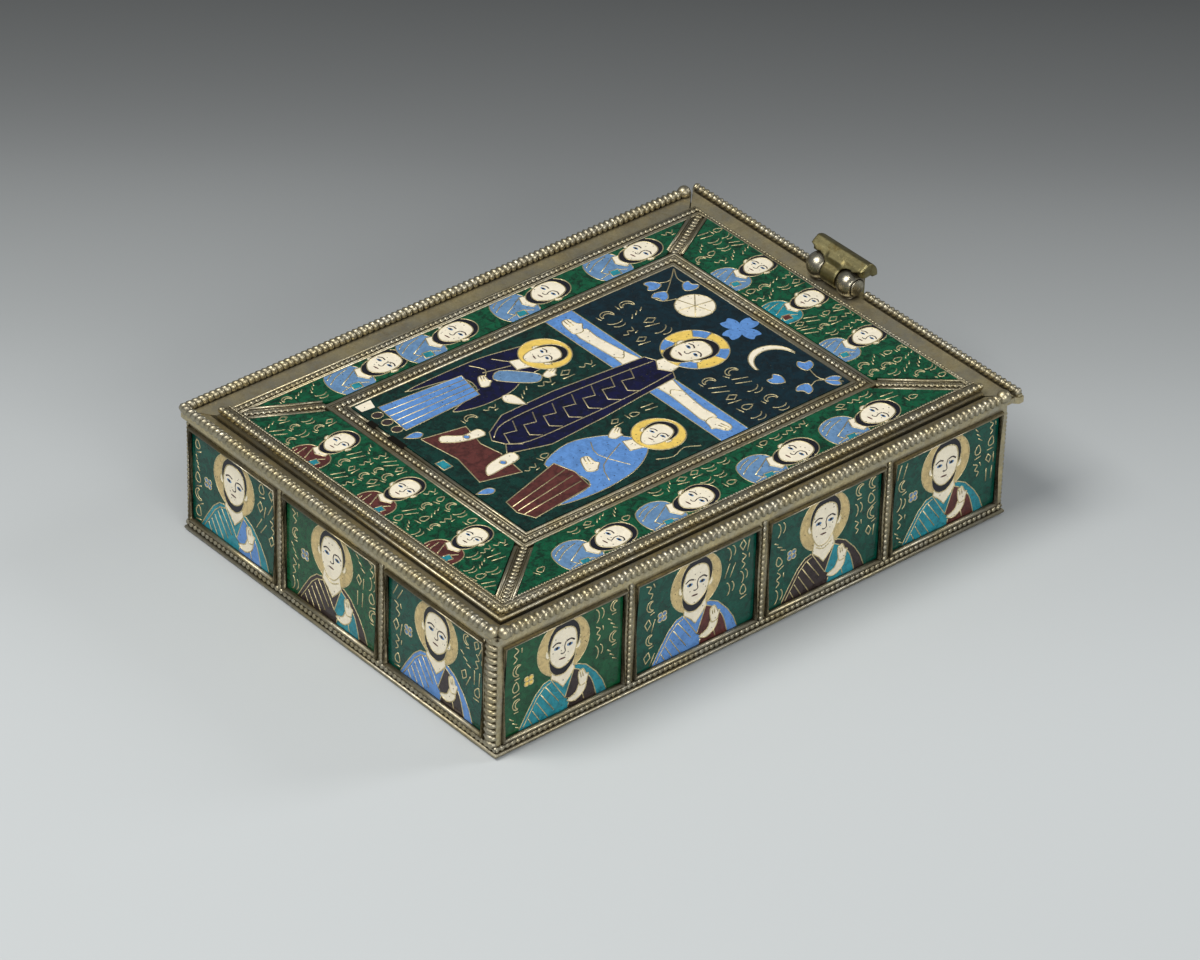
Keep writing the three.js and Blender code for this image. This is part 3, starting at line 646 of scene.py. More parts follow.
class Pen:
    """Draws on a picture at a place, size and turn of its own."""

    def __init__(self, picture, x, y, size, turn):
        self.picture = picture
        lean = math.radians(turn)
        self.right = Vector((math.cos(lean), math.sin(lean))) * size
        self.up = Vector((-math.sin(lean), math.cos(lean))) * size
        self.start = Vector((x, y))

    def place(self, points):
        return [self.start + self.right * x + self.up * y for x, y in points]

    def pen(self, x, y, size=1.0, turn=0.0):
        """A second pen, placed by this one."""
        made = Pen(self.picture, 0, 0, 1, 0)
        lean = math.radians(turn)
        made.start = self.place([(x, y)])[0]
        made.right = (self.right * math.cos(lean) + self.up * math.sin(lean)) * size
        made.up = (self.up * math.cos(lean) - self.right * math.sin(lean)) * size
        return made

    def cell(self, points, colour, wired=True):
        """Lays a cell of enamel over what lies there, with a wire round it."""
        placed = self.place(points)
        across = [p.x for p in placed]
        along = [p.y for p in placed]
        picture = self.picture
        picture.cells.append((placed, colour))
        picture.boxes.append((min(across), max(across), min(along), max(along)))
        if wired:
            picture.wires.append((placed, True, len(picture.cells)))

    def blob(self, points, colour, steps=3, wired=True):
        """A cell with a smooth outline through the points."""
        self.cell(smooth(points, closed=True, steps=steps), colour, wired)

    def line(self, points):
        self.picture.wires.append((self.place(points), False, len(self.picture.cells)))

    def curve(self, points, steps=3):
        """A wire that runs smoothly through the points."""
        self.line(smooth(points, steps=steps))


def counter_clockwise(points):
    """The corners in that order, whichever way round they came."""
    area = sum(
        a[0] * b[1] - b[0] * a[1] for a, b in zip(points, list(points[1:]) + [points[0]])
    )
    return list(points) if area > 0 else list(points)[::-1]


# How finely a wire is tested where it may end, in millimetres
CLIP_STEP = 0.3


def clipped(picture, points, closed, first):
    """The runs of a wire that lie inside its picture, and that no later cell covers."""
    path = [Vector(point) for point in points]
    if closed:
        path.append(path[0])
    fine = [path[0]]
    for start, end in zip(path, path[1:]):
        count = max(1, math.ceil((end - start).length / CLIP_STEP))
        fine += [start.lerp(end, k / count) for k in range(1, count + 1)]
    keep = [picture.inside(point) and not picture.covered(point, first) for point in fine]
    if all(keep):
        return [(path[:-1] if closed else path, closed)]
    runs = [[]]
    for point, kept in zip(fine, keep):
        if kept:
            runs[-1].append(point)
        else:
            runs.append([])
    return [(run, False) for run in runs if len(run) > 1]


def cloison(bm, place, points, closed, half, rise, finish):
    """A gold wire with a rounded back, standing a little over the enamel."""
    sink = 0.5 * rise
    shoulder = rise * 0.6
    half_profile = [(0.4, rise), (0.85, shoulder), (1.0, -sink)]
    profile = [(-share, height) for share, height in reversed(half_profile)] + half_profile
    count = len(points)
    rings = []
    for i, point in enumerate(points):
        before = points[i - 1] if i or closed else point
        after = points[(i + 1) % count] if i < count - 1 or closed else point
        into = (point - before).normalized() if (point - before).length > 1e-9 else None
        out = (after - point).normalized() if (after - point).length > 1e-9 else None
        if into is None and out is None:
            continue
        way = ((into or out) + (out or into))
        way = way.normalized() if way.length > 1e-6 else (out or into)
        across = Vector((-way.y, way.x)) / max(0.55, way.dot(out or into))
        ring = []
        for share, height in profile:
            flat = point + across * (share * half)
            ring.append(bm.verts.new(place @ Vector((flat.x, flat.y, height))))
        rings.append(ring)
    if len(rings) < 2:
        return
    pairs = list(zip(rings, rings[1:])) + ([(rings[-1], rings[0])] if closed else [])
    made = []
    for one, other in pairs:
        for k in range(len(profile)):
            j = (k + 1) % len(profile)
            made.append(bm.faces.new((one[j], one[k], other[k], other[j])))
    if not closed:
        made.append(bm.faces.new(rings[0]))
        made.append(bm.faces.new(rings[-1][::-1]))
    for face in made:
        face.material_index = finish
        face.smooth = True


# From a plaque's surface to the underside of its enamel, in millimetres
ENAMEL_DEPTH = 0.4


def enamel_piece(name, body, node, facing, picture, middle=None):
    """The picture as one inlaid plaque in its node's place: enamels flush, wires just proud."""
    low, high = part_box(node)
    right, up, out = FACINGS[facing]
    centre = (low + high) / 2
    if middle:
        centre = Vector((middle[0] * MM, middle[1] * MM, centre.z))
    surface = centre + out * (abs((high - low).dot(out)) / 2)
    turned = Matrix((right, up, out)).transposed().to_4x4()
    place = Matrix.Translation(surface) @ turned @ Matrix.Scale(MM, 4)
    bm = bmesh.new()
    names = lay_cells(bm, place, picture)
    add_walls(bm, out * (ENAMEL_DEPTH * MM), names.index(picture.ground))
    bmesh.ops.recalc_face_normals(bm, faces=bm.faces)
    half = sizes().cloison / MM / 2
    rise = sizes().cloison_rise / MM
    for wire, closed, first in picture.wires:
        for run, loop in clipped(picture, wire, closed, first):
            cloison(bm, place, run, loop, half, rise, 0)
    return piece_from(bm, name, body, names, (node,))


def lay_cells(bm, place, picture):
    """The picture's cells as one flat sheet. Gives the names of the finishes in their order."""
    rings = [counter_clockwise(cell) for cell, _ in picture.cells]
    points = []
    faces = []
    for ring in rings:
        faces.append(list(range(len(points), len(points) + len(ring))))
        points += [Vector(point) for point in ring]
    verts, _, tris, _, _, owners = geometry.delaunay_2d_cdt(points, [], faces, 1, 1e-4)
    names = ["gold"]
    placed = [bm.verts.new(place @ Vector((v.x, v.y, 0.0))) for v in verts]
    for tri, owner in zip(tris, owners):
        if 0 not in owner:
            continue
        colour = picture.cells[max(owner)][1]
        if colour not in names:
            names.append(colour)
        face = bm.faces.new([placed[k] for k in tri])
        face.material_index = names.index(colour)
    bmesh.ops.delete(bm, geom=[v for v in bm.verts if not v.link_faces], context="VERTS")
    return names


def add_walls(bm, drop_by, finish):
    """Turns the flat sheet into a closed tile with walls and an underside."""
    rim = [edge for edge in bm.edges if edge.is_boundary]
    walls = bmesh.ops.extrude_edge_only(bm, edges=rim)["geom"]
    for item in walls:
        if isinstance(item, bmesh.types.BMVert):
            item.co -= drop_by
        if isinstance(item, bmesh.types.BMFace):
            item.material_index = finish
    lower = [edge for edge in bm.edges if edge.is_boundary]
    for face in bmesh.ops.edgeloop_fill(bm, edges=lower)["faces"]:
        face.material_index = finish


def rectangle(node, facing):
    """The outline of a rectangular plaque about its middle, in millimetres."""
    low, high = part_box(node)
    right, up, _ = FACINGS[facing]
    wide = abs((high - low).dot(right)) / MM / 2
    tall = abs((high - low).dot(up)) / MM / 2
    return [(-wide, -tall), (wide, -tall), (wide, tall), (-wide, tall)]


# Figures, which are generic and calm, with plain proportions

def ribbon(points, half):
    """The outline of a thin line that is inlaid as a cell."""
    path = [Vector(point) for point in points]
    sides = ([], [])
    for i, point in enumerate(path):
        way = (path[min(i + 1, len(path) - 1)] - path[max(i - 1, 0)]).normalized()
        across = Vector((-way.y, way.x)) * half
        sides[0].append(tuple(point + across))
        sides[1].append(tuple(point - across))
    return sides[0] + sides[1][::-1]


def head(pen, beard):
    """A head one unit high, looking out, its middle at the pen's place."""
    for side in (-1, 1):
        pen.cell(ellipse(side * 0.33, -0.04, 0.07, 0.1, steps=10), "ivory")
    pen.cell(ellipse(0, 0.14, 0.37, 0.42, steps=26), "ink")
    if beard:
        pen.blob([
            (-0.28, -0.1), (-0.27, -0.36), (-0.14, -0.53), (0, -0.57), (0.14, -0.53),
            (0.27, -0.36), (0.28, -0.1), (0, -0.05),
        ], "ink", steps=4)
    chin = -0.42 if beard else -0.48
    pen.blob([
        (0, 0.4), (-0.22, 0.32), (-0.3, 0.06), (-0.27, -0.2), (-0.13, chin + 0.05), (0, chin),
        (0.13, chin + 0.05), (0.27, -0.2), (0.3, 0.06), (0.22, 0.32),
    ], "ivory", steps=4)
    for side in (-1, 1):
        brow = smooth([(side * 0.25, 0.07), (side * 0.16, 0.125), (side * 0.06, 0.1)], steps=3)
        pen.cell(ribbon(brow, 0.016), "umber", wired=False)
        pen.cell(ellipse(side * 0.145, 0.015, 0.07, 0.036, steps=10), "slate", wired=False)
        pen.cell(ellipse(side * 0.145, 0.018, 0.034, 0.034, steps=8), "ink", wired=False)
    nose = smooth([(0.05, 0.1), (0.03, 0.0), (0.055, -0.1), (0.0, -0.135), (-0.045, -0.115)], steps=3)
    pen.cell(ribbon(nose, 0.012), "umber", wired=False)
    pen.cell(ellipse(0, -0.235, 0.08, 0.02, steps=8), "maroon", wired=False)


def mark_lines(kind):
    """The lines of one mark about a unit high. None of the kinds is a letter."""
    if kind == 0:
        corners = [(0.0, 0.5), (-0.24, 0.1), (-0.1, -0.2), (0.2, -0.12), (0.2, 0.15)]
        tear = smooth(corners, closed=True, steps=2)
        return [tear + tear[:1], [(-0.2, -0.5), (0.3, -0.38)]]
    if kind == 1:
        arcs = ((-0.3, 0, 0.3, 0.48, -70, 70), (0.02, 0.05, 0.3, 0.4, -60, 60))
        return [ellipse(*arc, steps=6) for arc in arcs]
    if kind == 2:
        return [[(-0.38, -0.45), (-0.12, 0.5)], [(0.04, -0.5), (0.34, 0.42)]]
    if kind == 3:
        wave = [(-0.2, 0.5), (0.1, 0.25), (-0.15, 0.0), (0.1, -0.25), (-0.1, -0.5)]
        return [smooth(wave, steps=3), [(0.3, 0.4), (0.34, 0.1)]]
    if kind == 4:
        outer = ellipse(0.1, 0.1, 0.34, 0.38, 70, 290, steps=8)
        inner = ellipse(0.26, 0.1, 0.3, 0.3, 262, 98, steps=6)
        return [outer + inner + outer[:1], [(0.0, -0.5), (0.34, -0.42)]]
    if kind == 5:
        kite = [(-0.12, 0.42), (-0.36, 0.08), (-0.12, -0.3), (0.1, 0.05)]
        return [kite + kite[:1], [(0.22, -0.5), (0.36, 0.3)]]
    return [[(-0.36, 0.46), (-0.1, 0.22)], [(-0.18, 0.08), (0.12, -0.16)], [(0.0, -0.28), (0.34, -0.5)]]


def strokes(pen, spots, size, seed):
    """Short marks in place of an inscription."""
    chance = random.Random(seed)
    last = None
    for x, y in spots:
        turn = chance.uniform(-16, 16)
        kind = chance.choice([k for k in range(7) if k != last])
        last = kind
        mark = pen.pen(x, y, size * chance.uniform(0.9, 1.1), turn)
        for line in mark_lines(kind):
            mark.line(line)


def column_of(x, top, bottom, count):
    """Places one under the other for a column of strokes."""
    return [(x, top + (bottom - top) * k / max(1, count - 1)) for k in range(count)]


def petals(pen, colour):
    """A small flower of four round petals."""
    for k in range(4):
        angle = math.radians(45 + 90 * k)
        x, y = 0.55 * math.cos(angle), 0.55 * math.sin(angle)
        pen.cell(ellipse(x, y, 0.4, 0.4, steps=10), colour)


def raised_hand(pen):
    """An open hand with its fingers up, one unit high."""
    pen.blob([
        (-0.22, -0.5), (-0.3, 0.0), (-0.26, 0.42), (-0.08, 0.55), (0.12, 0.5), (0.26, 0.1),
        (0.42, 0.0), (0.3, -0.25), (0.18, -0.5),
    ], "ivory")
    for x in (-0.12, 0.03):
        pen.line([(x, 0.5), (x + 0.02, 0.02)])


def wall_saint(picture, robe, tunic, flower, beard, seed):
    """A haloed bust on a wall plaque, with its flower and its columns of strokes."""
    pen = picture.pen()
    tall = picture.outline[2].y
    foot = -tall
    left_arm = [(-2.0, -1.3), (-3.4, -1.6), (-4.8, -2.9), (-6.3, -5.2), (-7.9, foot - 0.3)]
    right_arm = [(8.1, foot - 0.3), (7.2, -5.6), (6.0, -3.7), (4.2, -1.7), (2.7, -0.9), (1.8, -0.8)]
    pen.cell(left_arm + right_arm, robe)
    inner = smooth([(2.0, -1.4), (3.6, -2.5), (5.2, -4.6), (6.2, foot - 0.3)])
    pen.cell(inner + [(0.9, foot - 0.3), (1.3, -6.2), (0.5, -5.6)], tunic)
    for k in range(6):
        start = (-3.1 - 0.72 * k, -2.2 - 1.02 * k)
        end = (start[0] + 2.5 - 0.15 * k, start[1] - 3.5)
        pen.line([start, end])
    pen.line([(-2.1, -1.9), (-3.3, -2.3), (-4.5, -3.5), (-5.8, -5.6), (-7.1, foot)])
    pen.line([(-2.1, -1.5), (0.5, -5.6), (1.3, -6.2)])
    pen.line([(3.3, -5.2), (4.0, foot)])
    pen.blob([
        (0.9, -6.3), (2.4, -5.6), (3.0, -4.4), (4.2, -4.4), (4.0, -5.8), (2.4, -6.9),
    ], "ivory")
    raised_hand(pen.pen(3.6, -3.5, 2.5, 8))
    pen.cell(ellipse(0, 3.3, 4.6, 4.65, steps=36), "tan")
    pen.cell([
        (-1.7, 1.2), (-2.1, -1.4), (-0.9, -2.4), (0.1, -3.6), (1.3, -2.3), (2.1, -1.2), (1.6, 1.2),
    ], "ivory")
    pen.curve([(-1.4, -0.6), (0.0, -1.3), (1.5, -0.5)])
    head(pen.pen(0, 3.1, 7.9, -5), beard)
    petals(pen.pen(-6.0, 0.2, 1.0), flower)
    strokes(pen, column_of(-8.3, 5.4, foot + 1.7, 5), 2.4, seed)
    strokes(pen, column_of(6.3, 5.6, -0.4, 3), 2.4, seed + 1)
    strokes(pen, column_of(8.8, 5.8, -2.0, 4), 2.4, seed + 2)


def lid_saint(pen, robe, patch):
    """A small bust on the lid's border. The pen stands at the middle of its head."""
    pen.blob([
        (-1.6, -3.5), (-3.1, -4.6), (-3.6, -6.6), (-2.9, -8.9), (-1.0, -9.9), (1.2, -9.9),
        (3.0, -8.8), (3.6, -6.4), (3.1, -4.5), (1.6, -3.5),
    ], robe)
    pen.line([(-1.4, -4.6), (0.3, -8.3)])
    pen.curve([(-2.4, -4.9), (-1.9, -7.4), (-0.9, -9.4)])
    pen.curve([(-3.0, -6.3), (-2.6, -8.0), (-2.0, -9.0)])
    pen.curve([(2.2, -4.8), (1.2, -6.5), (1.6, -9.4)])
    pen.line([(0.3, -8.3), (1.5, -7.8)])
    pen.cell([(1.2, -5.8), (2.5, -6.2), (2.2, -7.7), (0.9, -7.3)], patch)
    pen.cell([(-1.1, -2.4), (-1.6, -4.3), (0.0, -5.1), (1.6, -4.3), (1.1, -2.4)], "ivory")
    head(pen.pen(0, 0, 6.9, 4), beard=True)


def drop(pen, colour="sky"):
    """A drop with its tip at the top."""
    bowl = [(0.4, 0.45), (0.52, -0.35), (0, -0.85), (-0.52, -0.35), (-0.4, 0.45)]
    pen.cell([(0, 1.25)] + smooth(bowl, steps=3), colour)


def heart_leaf(pen):
    """A heart-shaped leaf with its tip at the bottom."""
    pen.blob([(0, -0.9), (-0.75, -0.1), (-0.6, 0.7), (0, 0.45), (0.6, 0.7), (0.75, -0.1)], "sky")


def cross_beam(pen):
    """The light blue beam, with one bare arm laid along each half."""
    pen.cell([(-19.6, 5.6), (-19.6, 10.6), (19.6, 10.6), (19.6, 5.6)], "sky")
    for side in (-1, 1):
        arm = [
            (2.6, 10.2), (6.5, 9.6), (11.5, 9.0), (14.2, 9.1),
            (14.0, 7.0), (10.5, 7.1), (6.0, 7.4), (2.6, 7.4),
        ]
        pen.blob([(side * x, y) for x, y in arm], "ivory")
        palm = pen.pen(side * 15.9, 8.0, 3.6, -80 * side)
        raised_hand(palm)
        pen.curve([(side * 6.4, 9.5), (side * 5.2, 8.4), (side * 6.2, 7.5)])


def robed_figure(pen):
    """The frontal figure of the middle in a long navy robe with bordered edges."""
    pen.cell([
        (-3.6, 10.9), (-4.2, 4.0), (-4.9, -5.0), (-4.7, -14.5), (-2.4, -18.6), (-0.6, -19.6), (1.2, -18.6),
        (3.2, -20.0), (5.2, -13.5), (4.6, -3.5), (3.8, 4.0), (3.2, 10.9), (0, 12.6),
    ], "navy")
    for side, shift in ((-1, 0.0), (1, -0.3)):
        pen.curve([
            (side * 2.0, 11.2), (side * 2.7, 3.0), (side * 3.2 + shift, -6.0),
            (side * 3.0 + shift, -15.5), (side * 1.0, -18.9),
        ], steps=4)
    for k in range(7):
        y = 7.4 - 3.6 * k
        pen.line([(-2.6, y), (-0.4, y - 1.1), (-0.9, y - 3.0), (1.5, y - 3.9), (2.7, y - 2.5)])
    for side, x in ((-1, -3.2), (1, 4.2)):
        pen.blob([
            (x - 0.9, -19.4), (x + 0.9, -19.4), (x + side * 0.6 + 0.8, -23.0),
            (x + side * 1.5, -25.4), (x + side * 1.2 - 1.4, -24.4), (x - 0.9, -22.0),
        ], "ivory")
        pen.cell(ellipse(x + side * 0.3, -21.8, 0.5, 0.5, steps=8), "sky")
    pen.cell([(-1.5, 13.6), (-1.8, 11.6), (0, 10.4), (1.7, 11.6), (1.3, 13.6)], "ivory")
    pen.cell(ellipse(-0.6, 17.9, 5.0, 5.0, steps=40), "yellow")
    for k in range(4):
        middle = 20 + 90 * k
        band = ellipse(-0.6, 17.9, 5.0, 5.0, middle, middle + 34, steps=6)
        inner = ellipse(-0.6, 17.9, 3.2, 3.2, middle + 34, middle, steps=6)
        pen.cell(band + inner, "sky")
    head(pen.pen(-0.6, 17.2, 7.6, -14), beard=True)


def footrest(pen):
    """The maroon slab under the middle figure's feet, with a small cell below it."""
    pen.cell([
        (-7.0, -27.2), (-5.6, -20.2), (-1.0, -21.3), (2.6, -20.6), (7.9, -21.2), (6.2, -27.4),
        (0, -26.2),
    ], "maroon")
    pen.cell([(-1.1, -29.4), (0.9, -29.4), (0.9, -27.9), (-1.1, -27.9)], "turquoise")


def veiled_mourner(pen):
    """The standing figure on the left, in a navy mantle over a light blue robe."""
    pen.blob([
        (-15.6, 1.6), (-16.9, -3.0), (-17.9, -9.6), (-17.6, -21.4), (-15.6, -13.4), (-11.6, -13.2),
        (-10.3, -17.4), (-9.4, -19.2), (-8.2, -15.0), (-8.4, -9.8), (-10.0, -5.6), (-10.6, -1.0),
        (-12.8, 3.2),
    ], "navy", steps=4)
    pen.cell([(-16.9, -26.9), (-15.9, -12.6), (-10.6, -13.6), (-10.0, -27.4)], "sky")
    for k in range(1, 5):
        share = k / 5
        pen.line([(-16.9 + 6.9 * share, -27.0), (-15.9 + 5.3 * share, -12.8)])
    for x in (-15.4, -13.2, -11.0):
        pen.cell(ellipse(x, -28.2, 0.75, 0.9, steps=10), "umber")
    pen.blob([
        (-13.6, -7.6), (-10.8, -4.6), (-9.0, -3.6), (-8.0, -5.2), (-10.2, -8.0), (-12.4, -9.6),
    ], "slate")
    pen.line([(-16.6, -6.6), (-13.2, -4.0), (-14.6, -9.8)])
    pen.curve([(-17.2, -10.2), (-15.0, -9.0), (-13.4, -10.4)])
    raised_hand(pen.pen(-8.7, -2.2, 2.4, 20))
    raised_hand(pen.pen(-12.8, -11.0, 2.6, 60))
    pen.cell([(-13.8, -2.6), (-14.6, -5.0), (-12.2, -5.4), (-11.4, -2.8)], "ivory")
    pen.cell(ellipse(-12.9, 0.3, 3.9, 3.9, steps=36), "yellow")
    head(pen.pen(-12.8, 0.0, 6.4, -16), beard=False)


def young_mourner(pen):
    """The standing figure on the right, in a light blue tunic over a brown robe."""
    pen.blob([
        (10.4, -4.0), (8.0, -6.6), (6.4, -11.8), (8.4, -17.6), (11.6, -16.0), (16.2, -15.8),
        (17.2, -22.4), (18.2, -16.0), (17.4, -9.0), (15.0, -4.4), (12.6, -3.0),
    ], "sky", steps=4)
    pen.cell([
        (9.0, -16.4), (12.4, -15.4), (16.4, -16.0), (17.6, -26.8), (15.0, -28.0), (12.2, -27.6),
    ], "maroon")
    for share in (0.25, 0.5, 0.75):
        pen.line([(9.4 + 7.0 * share, -16.2), (12.4 + 4.8 * share, -27.6)])
    pen.curve([(8.2, -9.0), (11.2, -10.2), (15.8, -8.2)])
    pen.curve([(11.0, -6.0), (13.6, -11.2), (17.0, -13.0)])
    raised_hand(pen.pen(12.2, -12.6, 3.4, 65))
    raised_hand(pen.pen(8.6, -4.8, 2.6, 30))
    pen.cell([(11.6, -3.0), (10.8, -5.4), (13.2, -6.0), (14.0, -3.0)], "ivory")
    pen.cell(ellipse(12.5, -0.2, 3.9, 3.9, steps=36), "yellow")
    head(pen.pen(12.4, -0.4, 6.4, 14), beard=False)
    pen.curve([(18.4, 2.6), (17.2, 0.4), (18.0, -2.2), (17.0, -4.6)])


def sun_and_moon(pen):
    """The sun as a disc with crossing wires, and the moon as a crescent."""
    pen.cell(ellipse(-9.2, 25.4, 3.0, 3.0, steps=28), "ivory")
    for k in range(3):
        angle = math.radians(20 + 60 * k)
        x, y = 2.9 * math.cos(angle), 2.9 * math.sin(angle)
        pen.line([(-9.2 - x, 25.4 - y), (-9.2 + x, 25.4 + y)])
    outer = ellipse(8.4, 25.0, 3.7, 3.7, 85, 275, steps=16)
    inner = ellipse(9.4, 25.0, 3.6, 3.5, 262, 98, steps=14)
    pen.cell(outer + inner, "ivory")


def vines(pen):
    """Heart leaves on thin stems in the upper corners, and the blue flower between them."""
    leaves = (
        (12.2, 27.6, 60), (16.6, 23.6, -150), (17.6, 28.2, -40), (-17.0, 24.0, 160),
        (-13.6, 28.2, 20), (-14.2, 23.2, -160), (12.4, 21.9, 110),
    )
    for x, y, turn in leaves:
        heart_leaf(pen.pen(x, y, 1.5, turn))
    stems = (
        ((18.6, 29.2), (16.0, 27.0), (13.2, 27.4)),
        ((18.6, 29.2), (16.2, 26.6), (16.6, 24.8)),
        ((-18.6, 29.4), (-16.6, 27.0), (-17.0, 25.2)),
        ((-18.4, 29.4), (-16.4, 28.2), (-14.9, 28.2)),
        ((-17.0, 27.6), (-15.6, 26.0), (-14.4, 24.4)),
        ((-14.2, 22.0), (-13.0, 22.6), (-12.2, 24.6)),
    )
    for stem in stems:
        pen.curve(stem, steps=4)
    flower = pen.pen(-0.6, 26.6, 1.0, 10)
    for k in range(4):
        lobe = flower.pen(0, 0, 1.0, 90 * k)
        lobe.blob([
            (-0.8, 0.8), (-1.25, 2.0), (-0.9, 3.1), (0, 2.8), (0.9, 3.1), (1.25, 2.0), (0.8, 0.8),
        ], "sky", wired=False)
    flower.cell(ellipse(0, 0, 1.3, 1.3, steps=10), "sky", wired=False)


def central_scene(picture):
    """Three haloed figures among strokes, leaves, sun and moon."""
    pen = picture.pen()
    wide = picture.outline[2].x
    tall = picture.outline[2].y
    pen.cell([(-wide, 11.0), (wide, 11.0), (wide, tall), (-wide, tall)], "night", wired=False)
    cross_beam(pen)
    footrest(pen)
    robed_figure(pen)
    veiled_mourner(pen)
    young_mourner(pen)
    sun_and_moon(pen)
    vines(pen)
    drop(pen.pen(-8.2, -27.2, 1.35, 165))
    drop(pen.pen(8.6, -28.0, 1.35, 165))
    drop(pen.pen(-6.8, -10.8, 1.9, -70), "ivory")
    pen.cell([(-19.0, -29.4), (-17.4, -29.4), (-17.2, -27.2), (-19.0, -26.6)], "ivory", wired=False)
    strokes(pen, [(-15.4 + 2.8 * k, 13.5) for k in range(4)], 2.7, 71)
    strokes(pen, [(-15.8 + 2.9 * k, 17.6) for k in range(4)], 2.8, 72)
    strokes(pen, [(6.6 + 2.8 * k, 13.8) for k in range(5)], 2.7, 73)
    strokes(pen, [(6.8 + 2.8 * k, 17.9) for k in range(5)], 2.7, 74)
    strokes(pen, column_of(-7.1, 3.2, -8.2, 4), 2.5, 75)
    strokes(pen, column_of(-7.0, -14.6, -18.6, 2), 2.4, 76)
    strokes(pen, column_of(6.6, 3.2, -3.0, 3), 2.3, 77)
    strokes(pen, [(6.8, -16.4), (8.0, -19.6)], 2.2, 78)


# The casket's own lines, in millimetres. The heights are over the casket's underside

# Middle of the lid's pictures, faces of the walls, and tops of the end strip and the lid's slab
LID_MIDDLE = (1.0, 0.7)
FACE_X = 46.8
FACE_Y = 34.25
RAIL_SEAT = 20.05
LID_TOP = 20.65
# A bead's length in pitches, lying and upright: neighbours run into each other a little
RIDGE = 1.05
UPRIGHT_RIDGE = 1.16
# Width and pitch of the foot's beads, and how high their row starts
FOOT_BEAD = 0.96
FOOT_PITCH = 0.94
FOOT_ROW = 0.8
# Widths of the centre frame and of the border strip at the back and on the right
FRAME_WIDTH = 2.7
BACK_STRIP = 2.2
BORDER_STRIP = 0.9
# Height of the blocks of painted shade where the centre frame's wire is torn
PLAQUE_RISE = 0.52
# Radii of the plain wires
HAIR_WIRE = 0.15
SLIM_WIRE = 0.2
FRAME_WIRE = 0.25
STRIP_WIRE = 0.26
EDGE_WIRE = 0.3
FOOT_WIRE = 0.36
BORDER_WIRE = 0.37
SETTING_WIRE = 0.38
# How far the rim's beads reach into their strip, its half width and height, and its cut end
RIM_SINK = 0.12
RIM_STRIP = 0.42
RIM_STRIP_HEIGHT = 0.5
RIM_END = 0.4
# From the near corner of the rim to the first bead, and the knobs' radius in half beads
RIM_GAP = 1.85
KNOB = 1.14


def span(node):
    """The lowest and highest corner of a node, in millimetres."""
    low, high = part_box(node)
    return low / MM, high / MM


def in_metres(points):
    """A path for a wire or a row, from points in millimetres."""
    return [Vector(point) * MM for point in points]


def wire(path, radius, closed=False):
    """A plain wire for a beaded piece. The path is in metres and the radius in millimetres."""
    return path, radius * MM, closed


def row_of(path, pitch, long, wide, high):
    """A row of beads for a beaded piece. The path is in metres and the rest in millimetres."""
    return [path], pitch * MM, long * MM, wide * MM, high * MM


def block_of(x0, x1, y0, y1, z0, z1):
    """The two corners of a block in metres, from its reach in millimetres."""
    return (x0 * MM, y0 * MM, z0 * MM), (x1 * MM, y1 * MM, z1 * MM)


def make_rim():
    """The beads along the rails, on a flat strip that carries them, with round silver ends."""
    look = sizes()
    low, high = span("rim_wire")
    half = look.rim_bead / MM / 2
    z = low.z + half - RIM_SINK
    x0, x1 = low.x + half, high.x
    y0, y1 = low.y + half, high.y - half
    end = x1 - RIM_END
    paths = [
        in_metres([(end, y0, z), (x0 + RIM_GAP, y0, z)]),
        in_metres([(x0, y0 + RIM_GAP, z), (x0, y1, z), (end, y1, z)]),
    ]
    row = (paths, look.rim_pitch, look.rim_pitch * RIDGE, look.rim_bead, look.rim_bead * 0.96)
    top = low.z + RIM_STRIP_HEIGHT
    backing = [block_of(x0, end, y - RIM_STRIP, y + RIM_STRIP, low.z, top) for y in (y0, y1)]
    backing.append(block_of(x0 - RIM_STRIP, x0 + RIM_STRIP, y0, y1, low.z, top))
    spots = (
        (x0 + 0.08, y0 + 1.12), (x0 + 1.12, y0 + 0.08),
        (x1 - half, y0 + 0.05), (x1 - half, y1 - 0.05),
    )
    knobs = [(Vector((x, y, z + 0.06)) * MM, half * KNOB * MM) for x, y in spots]
    beaded_piece("rim_beads", "case", [row], ("rim_wire",), backing=backing, knobs=knobs)


def make_end_wires():
    """The beads along the end strip, on both sides of the hinge."""
    look = sizes()
    for end in ("front", "back"):
        low, high = span(f"end_wire_{end}")
        x = (low.x + high.x) / 2
        wide = (high.x - low.x) * MM
        z = low.z + wide / MM / 2
        trims = (0.55, 0.1) if end == "front" else (0.1, 0.55)
        path = in_metres([(x, low.y + trims[0], z), (x, high.y - trims[1], z)])
        row = ([path], look.rim_pitch, look.rim_pitch * RIDGE, wide, wide)
        backing = [block_of(x - 0.4, x + 0.4, low.y, high.y, low.z, low.z + 0.45)]
        beaded_piece(f"end_beads_{end}", "lid", [row], (f"end_wire_{end}",), backing=backing)


